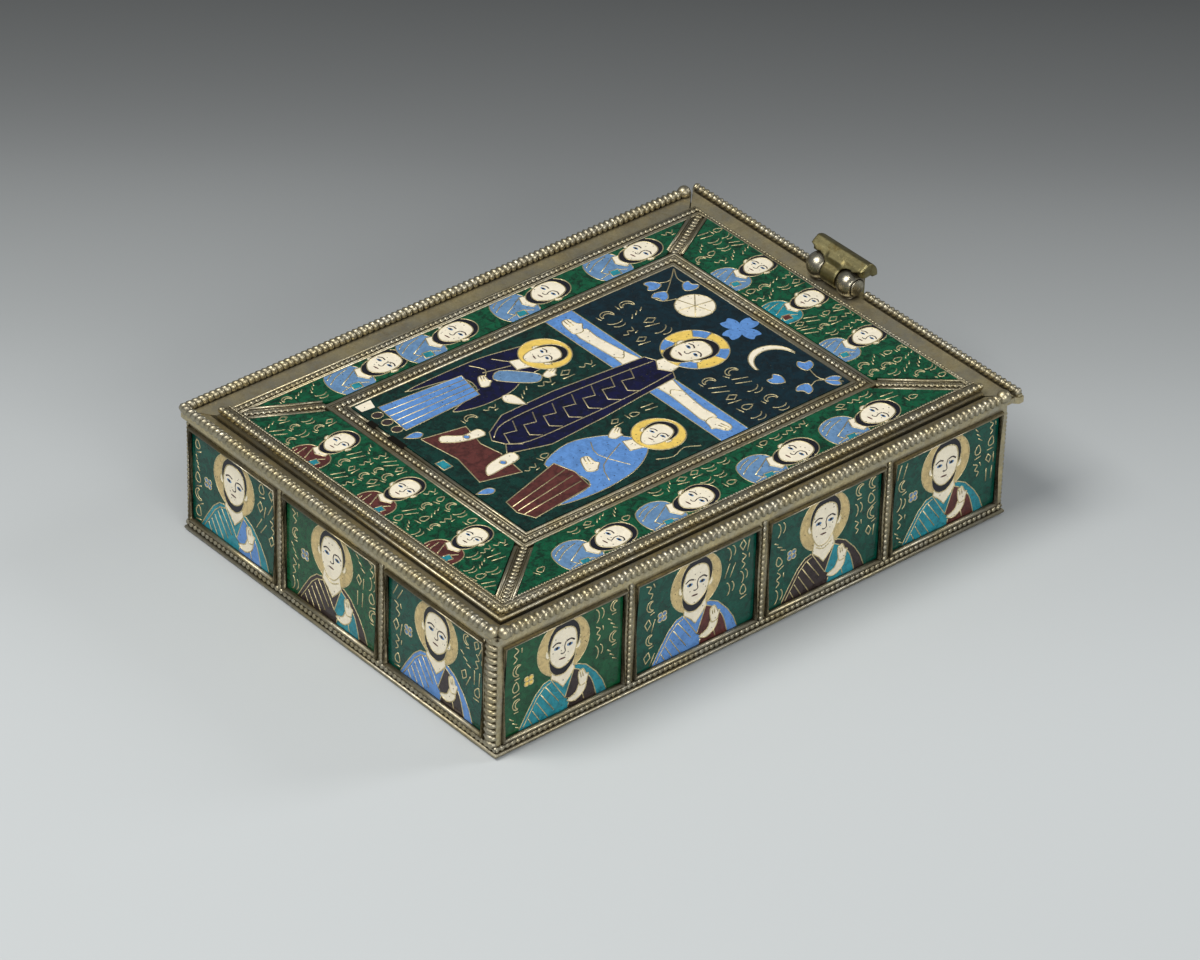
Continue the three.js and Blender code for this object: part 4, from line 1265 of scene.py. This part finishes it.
def make_lid_border():
    """The beaded wire on the lid's front and left edges, with plain wires on both sides of it."""
    look = sizes()
    low, high = span("lid_border_wire")
    half = look.lid_bead / MM / 2

    def edge(inset, z):
        corner = (low.x + inset, low.y + inset, z)
        return in_metres([(high.x, corner[1], z), corner, (corner[0], high.y, z)])

    path = edge(half + 0.02, low.z + half)
    row = ([path], look.lid_pitch, look.lid_pitch * RIDGE, look.lid_bead, look.lid_bead)
    fine = row_of(edge(2.04, low.z + 0.5), 0.5, 0.54, 0.42, 0.42)
    plain = [
        wire(edge(0.06, low.z - 0.26), EDGE_WIRE),
        wire(edge(1.42, low.z + 0.34), BORDER_WIRE),
        wire(edge(1.86, low.z + 0.3), SLIM_WIRE),
    ]
    outer, inner = 0.3, 2.15
    top = low.z + 0.3
    backing = [
        block_of(low.x + outer, high.x, low.y + outer, low.y + inner, low.z, top),
        block_of(low.x + outer, low.x + inner, low.y + inner, high.y, low.z, top),
    ]
    beaded_piece(
        "lid_border_beads", "lid", [row, fine], ("lid_border_wire",), plain, backing, "gilt_beads"
    )


def make_foot():
    """A beaded row round the foot, over a plain wire that carries the casket's edge."""
    low, high = span("base_moulding")
    bead = FOOT_BEAD / 2

    def ring(inset, height):
        x, y, z = high.x - inset, high.y - inset, low.z + height
        return in_metres([(-x, -y, z), (x, -y, z), (x, y, z), (-x, y, z)])

    path = ring(bead, FOOT_ROW + bead)
    rows = [row_of(path + path[:1], FOOT_PITCH, 0.96, FOOT_BEAD, FOOT_BEAD * 1.02)]
    wires = [wire(ring(0.36, 0.38), FOOT_WIRE, True)]
    deep, inner = 0.45, 0.15
    bottom, top = low.z + 0.02, high.z - 0.06
    backing = []
    for sign in (-1, 1):
        ys = sorted((sign * (FACE_Y - inner), sign * (high.y - deep)))
        xs = sorted((sign * (FACE_X - inner), sign * (high.x - deep)))
        backing.append(block_of(low.x + deep, high.x - deep, *ys, bottom, top))
        backing.append(block_of(*xs, low.y + deep, high.y - deep, bottom, top))
    beaded_piece("foot_beads", "case", rows, ("base_moulding",), wires, backing, bed="patina")


def wall_of(name):
    """The outward direction of the wall that a node's name gives."""
    for side, (_, _, out) in FACINGS.items():
        if f"_{side}" in name:
            return out
    raise ValueError(name)


def upright_beads(name, out, bead, pitch, shift=0.0):
    """A standing row of beads on a wall."""
    low, high = span(name)
    middle = (low + high) / 2
    proud = abs((high - low).dot(out))
    along = Vector((-out.y, out.x, 0))
    face = middle - out * (proud / 2) + along * shift
    depth = 2 * (proud - 0.03)
    line = in_metres([(face.x, face.y, low.z + 0.1), (face.x, face.y, high.z - 0.05)])
    across_x = bead if abs(along.x) > 0.5 else depth
    across_y = depth if abs(along.x) > 0.5 else bead
    return row_of(line, pitch, pitch * UPRIGHT_RIDGE, across_x, across_y)


def make_columns():
    """The broad beaded column at the near corner, and slim ones at the other corners."""
    look = sizes()
    name = "corner_column_front_left"
    low, high = span(name)
    row = upright_beads(name, -X, look.column_bead / MM, look.column_pitch / MM, shift=0.32)
    y = high.y + 0.12
    edge = wire(in_metres([(-FACE_X, y, low.z), (-FACE_X, y, high.z)]), SLIM_WIRE)
    beaded_piece("corner_beads_front_left", "case", [row], (name,), plain=[edge])
    for corner, out in (("back_left", -X), ("front_right", X), ("back_right", X)):
        name = f"corner_column_{corner}"
        row = upright_beads(name, out, 0.6, 0.7)
        beaded_piece(f"corner_beads_{corner}", "case", [row], (name,))


def make_separators():
    """A fine beaded row in the channel between every two wall pictures."""
    look = sizes()
    for name in sorted(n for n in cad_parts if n.startswith("separator_")):
        row = upright_beads(name, wall_of(name), look.fine_bead / MM * 1.1, look.fine_pitch / MM)
        beaded_piece(f"{name}_beads", "case", [row], (name,))


def make_settings():
    """A thin wire round every wall picture, which holds its enamel in the sheet."""
    for side in ("front", "right", "back", "left"):
        right, up, out = FACINGS[side]
        wires = []
        for name in sorted(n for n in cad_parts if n.startswith(f"plaque_{side}")):
            low, high = span(name)
            middle = (low + high) / 2 + out * 0.5
            wide = abs((high - low).dot(right)) / 2
            tall = abs((high - low).dot(up)) / 2
            corners = [
                middle + right * (a * (wide + 0.16)) + up * (b * (tall + 0.14))
                for a, b in ((-1, -1), (1, -1), (1, 1), (-1, 1))
            ]
            wires.append(wire(in_metres(corners), SETTING_WIRE, True))
        finish = "beads" if side == "front" else "gilt_beads"
        beaded_piece(f"setting_wires_{side}", "case", [], plain=wires, finish=finish)


def frame_ring(low, high, inset, z):
    """A closed ring inside the lid's centre frame."""
    x0, y0, x1, y1 = low.x + inset, low.y + inset, high.x - inset, high.y - inset
    return in_metres([(x0, y0, z), (x1, y0, z), (x1, y1, z), (x0, y1, z)])


# The two torn stretches of the centre frame's inner wire: their far and near ends from its middle
GASHES = ((10.2, 6.9), (14.9, 13.2))


def make_centre_frame():
    """Fine beads on a dark bed between plain wires. Two stretches of the inner wire are torn away, with
    painted shade in their gaps.
    """
    look = sizes()
    low, high = span("lid_centre_frame")
    width = FRAME_WIDTH
    z = high.z - 0.3
    bed = high.z - 0.36
    ring = frame_ring(low, high, width / 2, z)
    pitch, bead = look.fine_pitch, look.fine_bead
    rows = [([ring + ring[:1]], pitch, pitch * RIDGE, bead * 1.06, bead)]
    wires = [wire(frame_ring(low, high, 0.24, z), FRAME_WIRE, True)]
    for inset in (0.66, width - 0.7):
        wires.append(wire(frame_ring(low, high, inset, bed), HAIR_WIRE, True))
    near, right, back, left = (point / MM for point in frame_ring(low, high, width - 0.24, z))
    start = left
    for far, close in GASHES[::-1]:
        stop = Vector((near.x, LID_MIDDLE[1] + far, z))
        wires.append(wire(in_metres([start, stop]), FRAME_WIRE))
        start = Vector((near.x, LID_MIDDLE[1] + close, z))
    wires.append(wire(in_metres([start, near, right, back, left]), FRAME_WIRE))
    backing = [
        block_of(low.x, high.x, low.y, low.y + width, low.z, bed),
        block_of(low.x, high.x, high.y - width, high.y, low.z, bed),
        block_of(low.x, low.x + width - 0.7, low.y + width, high.y - width, low.z, bed),
        block_of(high.x - width, high.x, low.y + width, high.y - width, low.z, bed),
    ]
    torn = [LID_MIDDLE[1] + y for pair in GASHES for y in pair[::-1]]
    left_side = low.x + width - 0.75, low.x + width + 0.25
    # Near-black blocks of painted shade stand in the gaps where the inner wire is torn away
    lost = [
        block_of(*left_side, y0, y1, low.z, low.z + PLAQUE_RISE) for y0, y1 in zip(torn[::2], torn[1::2])
    ]
    ends = [low.y + width] + torn + [high.y - width]
    for y0, y1 in zip(ends[::2], ends[1::2]):
        backing.append(block_of(low.x + width - 0.7, low.x + width, y0, y1, low.z, bed))
    beaded_piece(
        "centre_frame_beads", "lid", rows, ("lid_centre_frame",), wires, backing, "gilt_beads",
        bed="patina", lost=lost,
    )


def make_mitre_strips():
    """The slanting strips from the lid's corners to the frame: a ladder of beads between wires."""
    low, high = span("lid_centre_frame")
    z = high.z - 0.34
    for side_y, y in (("front", low.y), ("back", high.y)):
        for side_x, x in (("left", low.x), ("right", high.x)):
            name = f"mitre_strip_{side_y}_{side_x}"
            outer_low, outer_high = span(name)
            near = Vector((x, y))
            far = Vector((
                outer_low.x if side_x == "left" else outer_high.x,
                outer_low.y if side_y == "front" else outer_high.y,
            ))
            way = (far - near).normalized()
            side = Vector((-way.y, way.x))

            def line(shift, height):
                ends = (near + side * shift, far - way * 0.7 + side * shift)
                return in_metres([(p.x, p.y, height) for p in ends])

            row = row_of(line(0, z + 0.06), 0.84, 0.8, 1.15, 0.62)
            wires = []
            for sign in (-1, 1):
                wires.append(wire(line(1.14 * sign, z + 0.04), STRIP_WIRE))
                wires.append(wire(line(0.76 * sign, z - 0.1), HAIR_WIRE))
            for shift in (-0.9, -0.45, 0.0, 0.45, 0.9):
                wires.append(wire(line(shift, LID_TOP + 0.02), STRIP_WIRE))
            beaded_piece(f"{name}_beads", "lid", [row], (name,), wires, finish="gilt_beads")


def make_lid_strips():
    """Every strip on the lid. The border strip is broad at the back and narrow on the right."""
    make_centre_frame()
    make_mitre_strips()
    low, high = span("lid_border_strip")
    z = high.z - 0.3

    def line(back_inset, right_inset, height):
        x = high.x - right_inset
        y = high.y - back_inset
        return in_metres([(low.x + 0.2, y, height), (x, y, height), (x, low.y + 0.2, height)])

    beads = line(0.98, 0.34, z)
    rows = [
        row_of(beads[:2], 0.9, 0.88, 0.82, 0.7),
        row_of(beads[1:], 0.62, 0.64, 0.5, 0.56),
    ]
    wires = [
        wire(line(0.24, 0.1, z - 0.1)[:2], 0.24),
        wire(line(1.56, 0.74, z - 0.08), 0.16),
        wire(line(1.95, 0.76, z), SLIM_WIRE),
    ]
    backing = [
        block_of(low.x, high.x, high.y - BACK_STRIP, high.y, low.z, z - 0.08),
        block_of(high.x - BORDER_STRIP, high.x, low.y, high.y - BACK_STRIP, low.z, z - 0.08),
    ]
    beaded_piece(
        "lid_border_strip_beads", "lid", rows, ("lid_border_strip",), wires, backing, "gilt_beads",
        bed="patina",
    )


# Pictures on the walls: robe, tunic, flower, beard
WALL_SAINTS = {
    "plaque_front_1": ("turquoise", "umber", "yellow", True),
    "plaque_front_2": ("sky", "maroon", "slate", True),
    "plaque_front_3": ("umber", "turquoise", "slate", False),
    "plaque_front_4": ("turquoise", "maroon", "slate", True),
    "plaque_left_1": ("turquoise", "sky", "slate", True),
    "plaque_left_2": ("umber", "turquoise", "slate", False),
    "plaque_left_3": ("sky", "umber", "slate", True),
    "plaque_back_1": ("sky", "umber", "slate", True),
    "plaque_back_2": ("turquoise", "maroon", "slate", False),
    "plaque_back_3": ("umber", "sky", "slate", True),
    "plaque_back_4": ("turquoise", "umber", "yellow", True),
    "plaque_right_1": ("umber", "turquoise", "slate", True),
    "plaque_right_2": ("sky", "maroon", "slate", False),
    "plaque_right_3": ("turquoise", "umber", "slate", True),
}
# The pictures whose ground is a warmer green
FIR_GROUNDS = ("plaque_front_1", "plaque_left_2", "plaque_back_2")


def make_wall_pictures():
    """The enamels of the walls, each with strokes of its own."""
    for number, (name, (robe, tunic, flower, beard)) in enumerate(WALL_SAINTS.items()):
        side = name.split("_")[1]
        picture = Picture(rectangle(name, side), "fir" if name in FIR_GROUNDS else "teal")
        wall_saint(picture, robe, tunic, flower, beard, 100 + 10 * number)
        enamel_piece(name.replace("plaque", "wall_picture"), "case", name, side, picture)


def lid_outline(name):
    """The outline of a plaque on the lid, in the lid's picture coordinates."""
    x0, y0 = LID_MIDDLE
    corners = [(-(v.co.y / MM - y0), v.co.x / MM - x0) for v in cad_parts[name].data.vertices]
    corners = [Vector(corner) for corner in sorted({(round(a, 3), round(b, 3)) for a, b in corners})]
    hull = [corners[k] for k in geometry.convex_hull_2d(corners)]
    # Points on a straight side are left out
    kept = []
    for before, corner, after in zip([hull[-1]] + hull[:-1], hull, hull[1:] + [hull[0]]):
        turn = (corner - before).normalized().cross((after - corner).normalized())
        if abs(turn) > 0.02:
            kept.append(tuple(corner))
    return kept


# Small busts on the lid: place of the head, turn, robe and patch
LID_SAINTS = {
    "lid_plaque_front": [(27.6, up, 4, "slate", "turquoise") for up in (-21.4, -6.4, 12.0, 27.4)],
    "lid_plaque_back": [(-25.2, up, 4, "slate", "turquoise") for up in (-19.2, -6.2, 11.1, 28.7)],
    "lid_plaque_left": [
        (-13.4, -36.6, 2, "maroon", "turquoise"),
        (1.1, -36.6, 2, "maroon", "turquoise"),
        (15.8, -36.6, 2, "maroon", "turquoise"),
    ],
    "lid_plaque_right": [
        (-11.6, 39.6, 2, "slate", "turquoise"),
        (-0.4, 39.6, 2, "turquoise", "maroon"),
        (12.0, 39.6, 2, "slate", "turquoise"),
    ],
}


def near_bust(spot, busts, size):
    """Whether a spot lies on a bust or right beside it."""
    for right, up, *_ in busts:
        for middle, wide, high in ((up, 3.9, 4.7), (up - 6.5 * size, 5.0, 4.8)):
            across = (spot.x - right) / (wide * size)
            along = (spot.y - middle) / (high * size)
            if across * across + along * along < 1:
                return True
    return False


def ground_marks(picture, busts, size, seed):
    """Rows of strokes over the ground between the busts."""
    chance = random.Random(seed)
    across = [corner.x for corner in picture.outline]
    along = [corner.y for corner in picture.outline]
    row_step, column_step, height = 2.45, 2.2, 2.15
    rows = round((max(along) - min(along)) / row_step)
    columns = round((max(across) - min(across)) / column_step)
    for row in range(rows + 1):
        for column in range(columns + 1):
            spot = Vector((
                min(across) + column_step * (column + 0.5) + chance.uniform(-0.15, 0.15),
                min(along) + row_step * (row + 0.5) + chance.uniform(-0.15, 0.15),
            ))
            if picture.inside(spot, 0.9) and not near_bust(spot, busts, size):
                strokes(picture.pen(), [tuple(spot)], height, chance.random())


def make_lid_pictures():
    """The central scene and the four border pictures with their busts."""
    middle = Picture(lid_outline("lid_plaque_centre"), "deep_green")
    central_scene(middle)
    enamel_piece("lid_picture_centre", "lid", "lid_plaque_centre", "lid", middle, LID_MIDDLE)
    for number, (name, busts) in enumerate(LID_SAINTS.items()):
        picture = Picture(lid_outline(name), "emerald")
        size = 0.86 if name.endswith(("left", "right")) else 1.0
        ground_marks(picture, busts, size, 300 + number)
        for right, up, turn, robe, patch in busts:
            lid_saint(picture.pen(right, up, size, turn), robe, patch)
        enamel_piece(name.replace("plaque", "picture"), "lid", name, "lid", picture, LID_MIDDLE)


LATHE_SIDES = 36


def lathe(bm, profile, origin, axis):
    """Turns a profile of (along, radius) about an axis into a closed solid, in metres."""
    across = axis.orthogonal().normalized()
    other = axis.cross(across)
    rings = []
    for along, radius in profile:
        middle = origin + axis * along
        if radius == 0:
            rings.append([bm.verts.new(middle)] * LATHE_SIDES)
            continue
        angles = [2 * math.pi * k / LATHE_SIDES for k in range(LATHE_SIDES)]
        rings.append([
            bm.verts.new(middle + across * (radius * math.cos(a)) + other * (radius * math.sin(a)))
            for a in angles
        ])
    for one, other_ring in zip(rings, rings[1:]):
        for k in range(LATHE_SIDES):
            j = (k + 1) % LATHE_SIDES
            corners = []
            for vert in (one[k], one[j], other_ring[j], other_ring[k]):
                if vert not in corners:
                    corners.append(vert)
            if len(corners) > 2:
                bm.faces.new(corners)


# The hinge's middle
HINGE_X = 47.0
HINGE_Y = 2.7
HINGE_Z = 22.1
# Radius of a ball and its distance from the hinge's middle, and radius of the barrel
BALL = 2.1
BALL_SPOT = 3.2
BARREL = 1.6
# The saddle's back, and the filler that rounds the leaf's crest: its section from the axis
SADDLE_BACK = 0.95
CREST = ((0.6, 2.9), (1.3, 3.5), (2.4, 3.2), (3.05, 2.5), (3.05, 1.7), (1.2, 1.4), (0.4, 1.6))
CREST_HALF_WIDTH = 5.35
# How the leaf's parts are melted together: grain in millimetres, rounds of softening, faces kept
CAST_GRAIN = 0.1
CAST_SOFTENING = 24
CAST_FACES_KEPT = 0.4


def ball_profile():
    """A silver ball from the barrel's side to the groove round the pin's head."""
    inner = BARREL + 0.08 - BALL_SPOT
    outer = 1.55
    points = [(BALL_SPOT + inner, 0.0), (BALL_SPOT + inner, 0.66)]
    steps = 16
    for k in range(steps + 1):
        along = inner + (outer - inner) * k / steps
        points.append((BALL_SPOT + along, math.sqrt(BALL * BALL - along * along)))
    groove = BALL_SPOT + outer - 0.14
    points += [(groove, 1.38), (groove, 0.5), (groove, 0.0)]
    return points


def make_hinge_balls():
    """The two silver balls on their necks, and the pin with its flat heads."""
    middle = Vector((HINGE_X, HINGE_Y, HINGE_Z)) * MM
    for end, sign in (("front", -1), ("back", 1)):
        bm = bmesh.new()
        axis = Y * sign
        lathe(bm, [(a * MM, r * MM) for a, r in ball_profile()], middle, axis)
        foot = middle + axis * (BALL_SPOT * MM)
        foot.z = (RAIL_SEAT - 0.1) * MM
        neck = [(0, 0), (0, 1.2), (0.25, 1.25), (0.5, 0.95), (1.2, 0.9), (1.2, 0)]
        lathe(bm, [(a * MM, r * MM) for a, r in neck], foot, Z)
        bmesh.ops.recalc_face_normals(bm, faces=bm.faces)
        name = f"hinge_ball_{end}"
        piece_from(bm, name, "lid", ("silver",), (f"hinge_lug_{end}",), smooth=True)
    bm = bmesh.new()
    half = [(4.62, 0.58), (4.62, 1.24), (4.82, 1.27), (4.9, 1.2), (4.94, 0.95), (4.94, 0.0)]
    profile = [(-a, r) for a, r in reversed(half)] + half
    lathe(bm, [(a * MM, r * MM) for a, r in profile], middle, Y)
    bmesh.ops.recalc_face_normals(bm, faces=bm.faces)
    piece_from(bm, "hinge_pin_heads", "lid", ("silver",), ("hinge_pin",), smooth=True)


def prism(bm, near, far):
    """Joins two rings of corners into a closed solid."""
    bm.faces.new(near)
    bm.faces.new(far[::-1])
    for k in range(len(near)):
        j = (k + 1) % len(near)
        bm.faces.new((near[k], near[j], far[j], far[k]))


def saddle_outline(sign):
    """The web over one ball, seen along the casket: it hugs the ball and meets the leaf."""
    reach = BALL + 0.22
    top = 3.27
    points = [(sign * -0.1, top), (sign * -0.1, 0.9), (sign * (BARREL - 0.3), 0.9)]
    start = math.degrees(math.acos((BALL_SPOT - BARREL) / reach))
    for k in range(13):
        angle = math.radians(180 - start - (105 - start) * k / 12)
        points.append((sign * (BALL_SPOT + reach * math.cos(angle)), reach * math.sin(angle)))
    points += [(sign * 4.6, 2.52), (sign * 5.45, 2.8), (sign * 5.4, top)]
    return points


def web_front(z):
    """Where the web's leaning front face lies at a height: it meets the leaf's upper edge."""
    rise = z - HINGE_Z - 2.75
    return HINGE_X - 0.1 + (1.45 * rise if rise > 0 else max(0.62 * rise, -1.05))


def make_hinge_leaf():
    """The brass leaf: the turned barrel flows up as a saddle between the balls into the leaf."""
    bm = bmesh.new()
    bm.from_mesh(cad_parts["hinge_leaf"].data)
    bmesh.ops.remove_doubles(bm, verts=bm.verts, dist=0.001 * MM)
    bmesh.ops.scale(bm, vec=Vector((1, 1, 1)) / MM, verts=bm.verts)
    bmesh.ops.bisect_plane(
        bm,
        geom=bm.verts[:] + bm.edges[:] + bm.faces[:],
        dist=0.0001,
        plane_co=Vector((HINGE_X + 1.28, 0, HINGE_Z + 3.68)),
        plane_no=Vector((-0.57, 0, 0.82)),
        clear_outer=True,
    )
    bmesh.ops.holes_fill(bm, edges=[edge for edge in bm.edges if edge.is_boundary])
    for sign in (-1, 1):
        ring = [(HINGE_Y + y, HINGE_Z + z) for y, z in saddle_outline(sign)]
        near = [bm.verts.new((web_front(z), y, z)) for y, z in ring]
        far = [bm.verts.new((HINGE_X + SADDLE_BACK, y, z)) for y, z in ring]
        prism(bm, near, far)
    front, back = (
        [bm.verts.new((HINGE_X + x, HINGE_Y + y, HINGE_Z + z)) for x, z in CREST]
        for y in (-CREST_HALF_WIDTH, CREST_HALF_WIDTH)
    )
    prism(bm, front, back)
    bmesh.ops.recalc_face_normals(bm, faces=bm.faces)
    stock = new_object("leaf stock", mesh_from(bm, "leaf stock"))
    remesh = stock.modifiers.new("Melt together", "REMESH")
    remesh.mode = "VOXEL"
    remesh.voxel_size = CAST_GRAIN
    soften = stock.modifiers.new("Soften edges", "SMOOTH")
    soften.factor = 0.5
    soften.iterations = CAST_SOFTENING
    thin = stock.modifiers.new("Thin out", "DECIMATE")
    thin.ratio = CAST_FACES_KEPT
    bm = bmesh.new()
    bm.from_mesh(applied(stock))
    bmesh.ops.scale(bm, vec=Vector((1, 1, 1)) * MM, verts=bm.verts)
    piece_from(bm, "hinge_leaf_cast", "leaf", ("brass",), ("hinge_leaf",), smooth=True)


def make_metals():
    """Finishes for the construction that stays in sight."""
    for node in ("box_body", "lid_plate"):
        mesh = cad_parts[node].data
        mesh.materials.clear()
        mesh.materials.append(finish_of("gilt"))


# The stage

SENSOR_WIDTH = 36
FLOOR_REACH = 1.6
# Place in metres, size in metres, power in watts and tint
LIGHTS = (
    ("key", (-0.54, 0.14, 0.92), (0.5, 0.5), 9.5, (1, 0.985, 0.96)),
    ("front", (-0.35, -1.0, 0.5), (0.8, 0.3), 6.5, (1, 0.99, 0.97)),
    ("side", (0.95, -0.45, 0.6), (0.3, 0.6), 3.5, (0.97, 0.98, 1)),
)
# How much of the floor's tone is left under the painted shade, from the near side to far behind the casket
PAINTED_FALLOFF = ((0.0, 1.0), (0.25, 0.97), (0.46, 0.7), (0.65, 0.36), (0.85, 0.14), (1.0, 0.09))


def area_light(name, place, target, size, power, tint):
    """A rectangular light in metres and watts that faces its target."""
    lamp = bpy.data.lights.new(name, "AREA")
    lamp.shape = "RECTANGLE"
    lamp.size, lamp.size_y = size
    lamp.energy = power
    lamp.color = tint
    made = new_object(name, lamp)
    made.location = place
    made.rotation_euler = (Vector(target) - Vector(place)).to_track_quat("-Z", "Y").to_euler()


def view_axes(view):
    """The right, up and forward directions of the photograph's camera."""
    azimuth, elevation, roll = (math.radians(a) for a in (view.azimuth, view.elevation, view.roll))
    forward = Vector((
        -math.sin(azimuth) * math.cos(elevation),
        math.cos(azimuth) * math.cos(elevation),
        -math.sin(elevation),
    ))
    right = forward.cross(Z).normalized()
    up = right.cross(forward)
    return (
        right * math.cos(roll) + up * math.sin(roll),
        up * math.cos(roll) - right * math.sin(roll),
        forward,
    )


def make_camera():
    """The camera where the photograph was taken, from the panel's values."""
    view = bpy.context.scene.casket_view
    right, up, forward = view_axes(view)
    target = right * view.target_right + up * view.target_up + Z * view.target_height
    camera = bpy.data.cameras.new("camera")
    camera.lens = view.lens
    camera.sensor_width = SENSOR_WIDTH
    camera.clip_start = 0.01
    camera.clip_end = 20
    made = new_object("camera", camera)
    turned = Matrix((right, up, -forward)).transposed()
    place = target * MM - forward * view.distance
    made.matrix_world = Matrix.Translation(place) @ turned.to_4x4()
    bpy.context.scene.camera = made


def floor_material():
    """Pale paper with painted shade that deepens far behind the casket, where the light falls off."""
    shader = Shader("studio_paper")
    view = bpy.context.scene.casket_view
    azimuth = math.radians(view.azimuth)
    away = Vector((-math.sin(azimuth), math.cos(azimuth), 0))
    values = {0: shader.place, 1: tuple(away)}
    dot = shader.add("ShaderNodeVectorMath", values, operation="DOT_PRODUCT").outputs["Value"]
    ramp = shader.add("ShaderNodeValToRGB", {"Fac": shader.ramp(dot, (-0.1, 0.0), (0.2, 1.0))})
    band = ramp.color_ramp
    band.interpolation = "CARDINAL"
    pale = tuple(colours().floor)
    band.elements[0].color = shaded(pale, PAINTED_FALLOFF[0][1])
    band.elements[1].color = shaded(pale, PAINTED_FALLOFF[-1][1])
    for position, share in PAINTED_FALLOFF[1:-1]:
        band.elements.new(position).color = shaded(pale, share)
    return shader.finish(ramp.outputs["Color"], 0.85, Specular_IOR_Level=0.2)


def make_floor():
    bm = bmesh.new()
    bmesh.ops.create_grid(bm, x_segments=8, y_segments=8, size=FLOOR_REACH)
    mesh = mesh_from(bm, "floor")
    mesh.materials.append(floor_material())
    new_object("floor", mesh)


def make_lights():
    world = bpy.data.worlds.new("studio")
    world.use_nodes = True
    background = world.node_tree.nodes["Background"]
    background.inputs["Color"].default_value = (0.9, 0.95, 1.0, 1)
    background.inputs["Strength"].default_value = 0.24
    bpy.context.scene.world = world
    bpy.context.scene.view_settings.view_transform = "Standard"
    for name, place, size, power, tint in LIGHTS:
        area_light(name, place, (0, 0, 0.01), size, power, tint)


# Operators, the panel and the run

class CASKET_OT_stage(bpy.types.Operator):
    """Make the floor, the lights and the camera"""

    bl_idname = "casket.stage"
    bl_label = "Stage"

    def execute(self, context):
        make_camera()
        make_floor()
        make_lights()
        return {"FINISHED"}


class CASKET_OT_metals(bpy.types.Operator):
    """Give the box and the lid their worn metals"""

    bl_idname = "casket.metals"
    bl_label = "Metals"

    def execute(self, context):
        make_metals()
        return {"FINISHED"}


class CASKET_OT_rims(bpy.types.Operator):
    """String the beads along the rails, the lid's edge and the end strip"""

    bl_idname = "casket.rims"
    bl_label = "Rims"

    def execute(self, context):
        make_rim()
        make_end_wires()
        make_lid_border()
        return {"FINISHED"}


class CASKET_OT_walls(bpy.types.Operator):
    """String the beads on the foot, the corners and between the wall pictures"""

    bl_idname = "casket.walls"
    bl_label = "Wall beads"

    def execute(self, context):
        make_foot()
        make_columns()
        make_separators()
        make_settings()
        return {"FINISHED"}


class CASKET_OT_lid_strips(bpy.types.Operator):
    """Make the beaded strips between the lid's pictures"""

    bl_idname = "casket.lid_strips"
    bl_label = "Lid strips"

    def execute(self, context):
        make_lid_strips()
        return {"FINISHED"}


class CASKET_OT_wall_pictures(bpy.types.Operator):
    """Inlay the enamel pictures of the walls"""

    bl_idname = "casket.wall_pictures"
    bl_label = "Wall pictures"

    def execute(self, context):
        make_wall_pictures()
        return {"FINISHED"}


class CASKET_OT_lid_pictures(bpy.types.Operator):
    """Inlay the enamel pictures of the lid"""

    bl_idname = "casket.lid_pictures"
    bl_label = "Lid pictures"

    def execute(self, context):
        make_lid_pictures()
        return {"FINISHED"}


class CASKET_OT_hinge(bpy.types.Operator):
    """Turn the hinge's silver balls and cast its brass leaf"""

    bl_idname = "casket.hinge"
    bl_label = "Hinge"

    def execute(self, context):
        make_hinge_balls()
        make_hinge_leaf()
        return {"FINISHED"}


OPERATORS = (
    CASKET_OT_stage,
    CASKET_OT_metals,
    CASKET_OT_rims,
    CASKET_OT_walls,
    CASKET_OT_lid_strips,
    CASKET_OT_wall_pictures,
    CASKET_OT_lid_pictures,
    CASKET_OT_hinge,
)


class CASKET_PT_panel(bpy.types.Panel):
    """The casket's sizes, colours and operators"""

    bl_idname = "CASKET_PT_panel"
    bl_label = "Casket"
    bl_space_type = "VIEW_3D"
    bl_region_type = "UI"
    bl_category = "Casket"

    def draw(self, context):
        layout = self.layout
        scene = context.scene
        for group in (scene.casket_sizes, scene.casket_colours, scene.casket_view):
            column = layout.column(align=True)
            for name in group.__annotations__:
                column.prop(group, name)
        for operator in OPERATORS:
            layout.operator(operator.bl_idname)


CLASSES = (CasketSizes, CasketColours, CasketView, *OPERATORS, CASKET_PT_panel)


def register():
    for made in CLASSES:
        bpy.utils.register_class(made)
    bpy.types.Scene.casket_sizes = PointerProperty(type=CasketSizes)
    bpy.types.Scene.casket_colours = PointerProperty(type=CasketColours)
    bpy.types.Scene.casket_view = PointerProperty(type=CasketView)


def unregister():
    del bpy.types.Scene.casket_sizes
    del bpy.types.Scene.casket_colours
    del bpy.types.Scene.casket_view
    for made in reversed(CLASSES):
        bpy.utils.unregister_class(made)


def main():
    register()
    bpy.ops.casket.stage()
    bpy.ops.casket.metals()
    bpy.ops.casket.rims()
    bpy.ops.casket.walls()
    bpy.ops.casket.lid_strips()
    bpy.ops.casket.wall_pictures()
    bpy.ops.casket.lid_pictures()
    bpy.ops.casket.hinge()


if __name__ == "__main__":
    main()
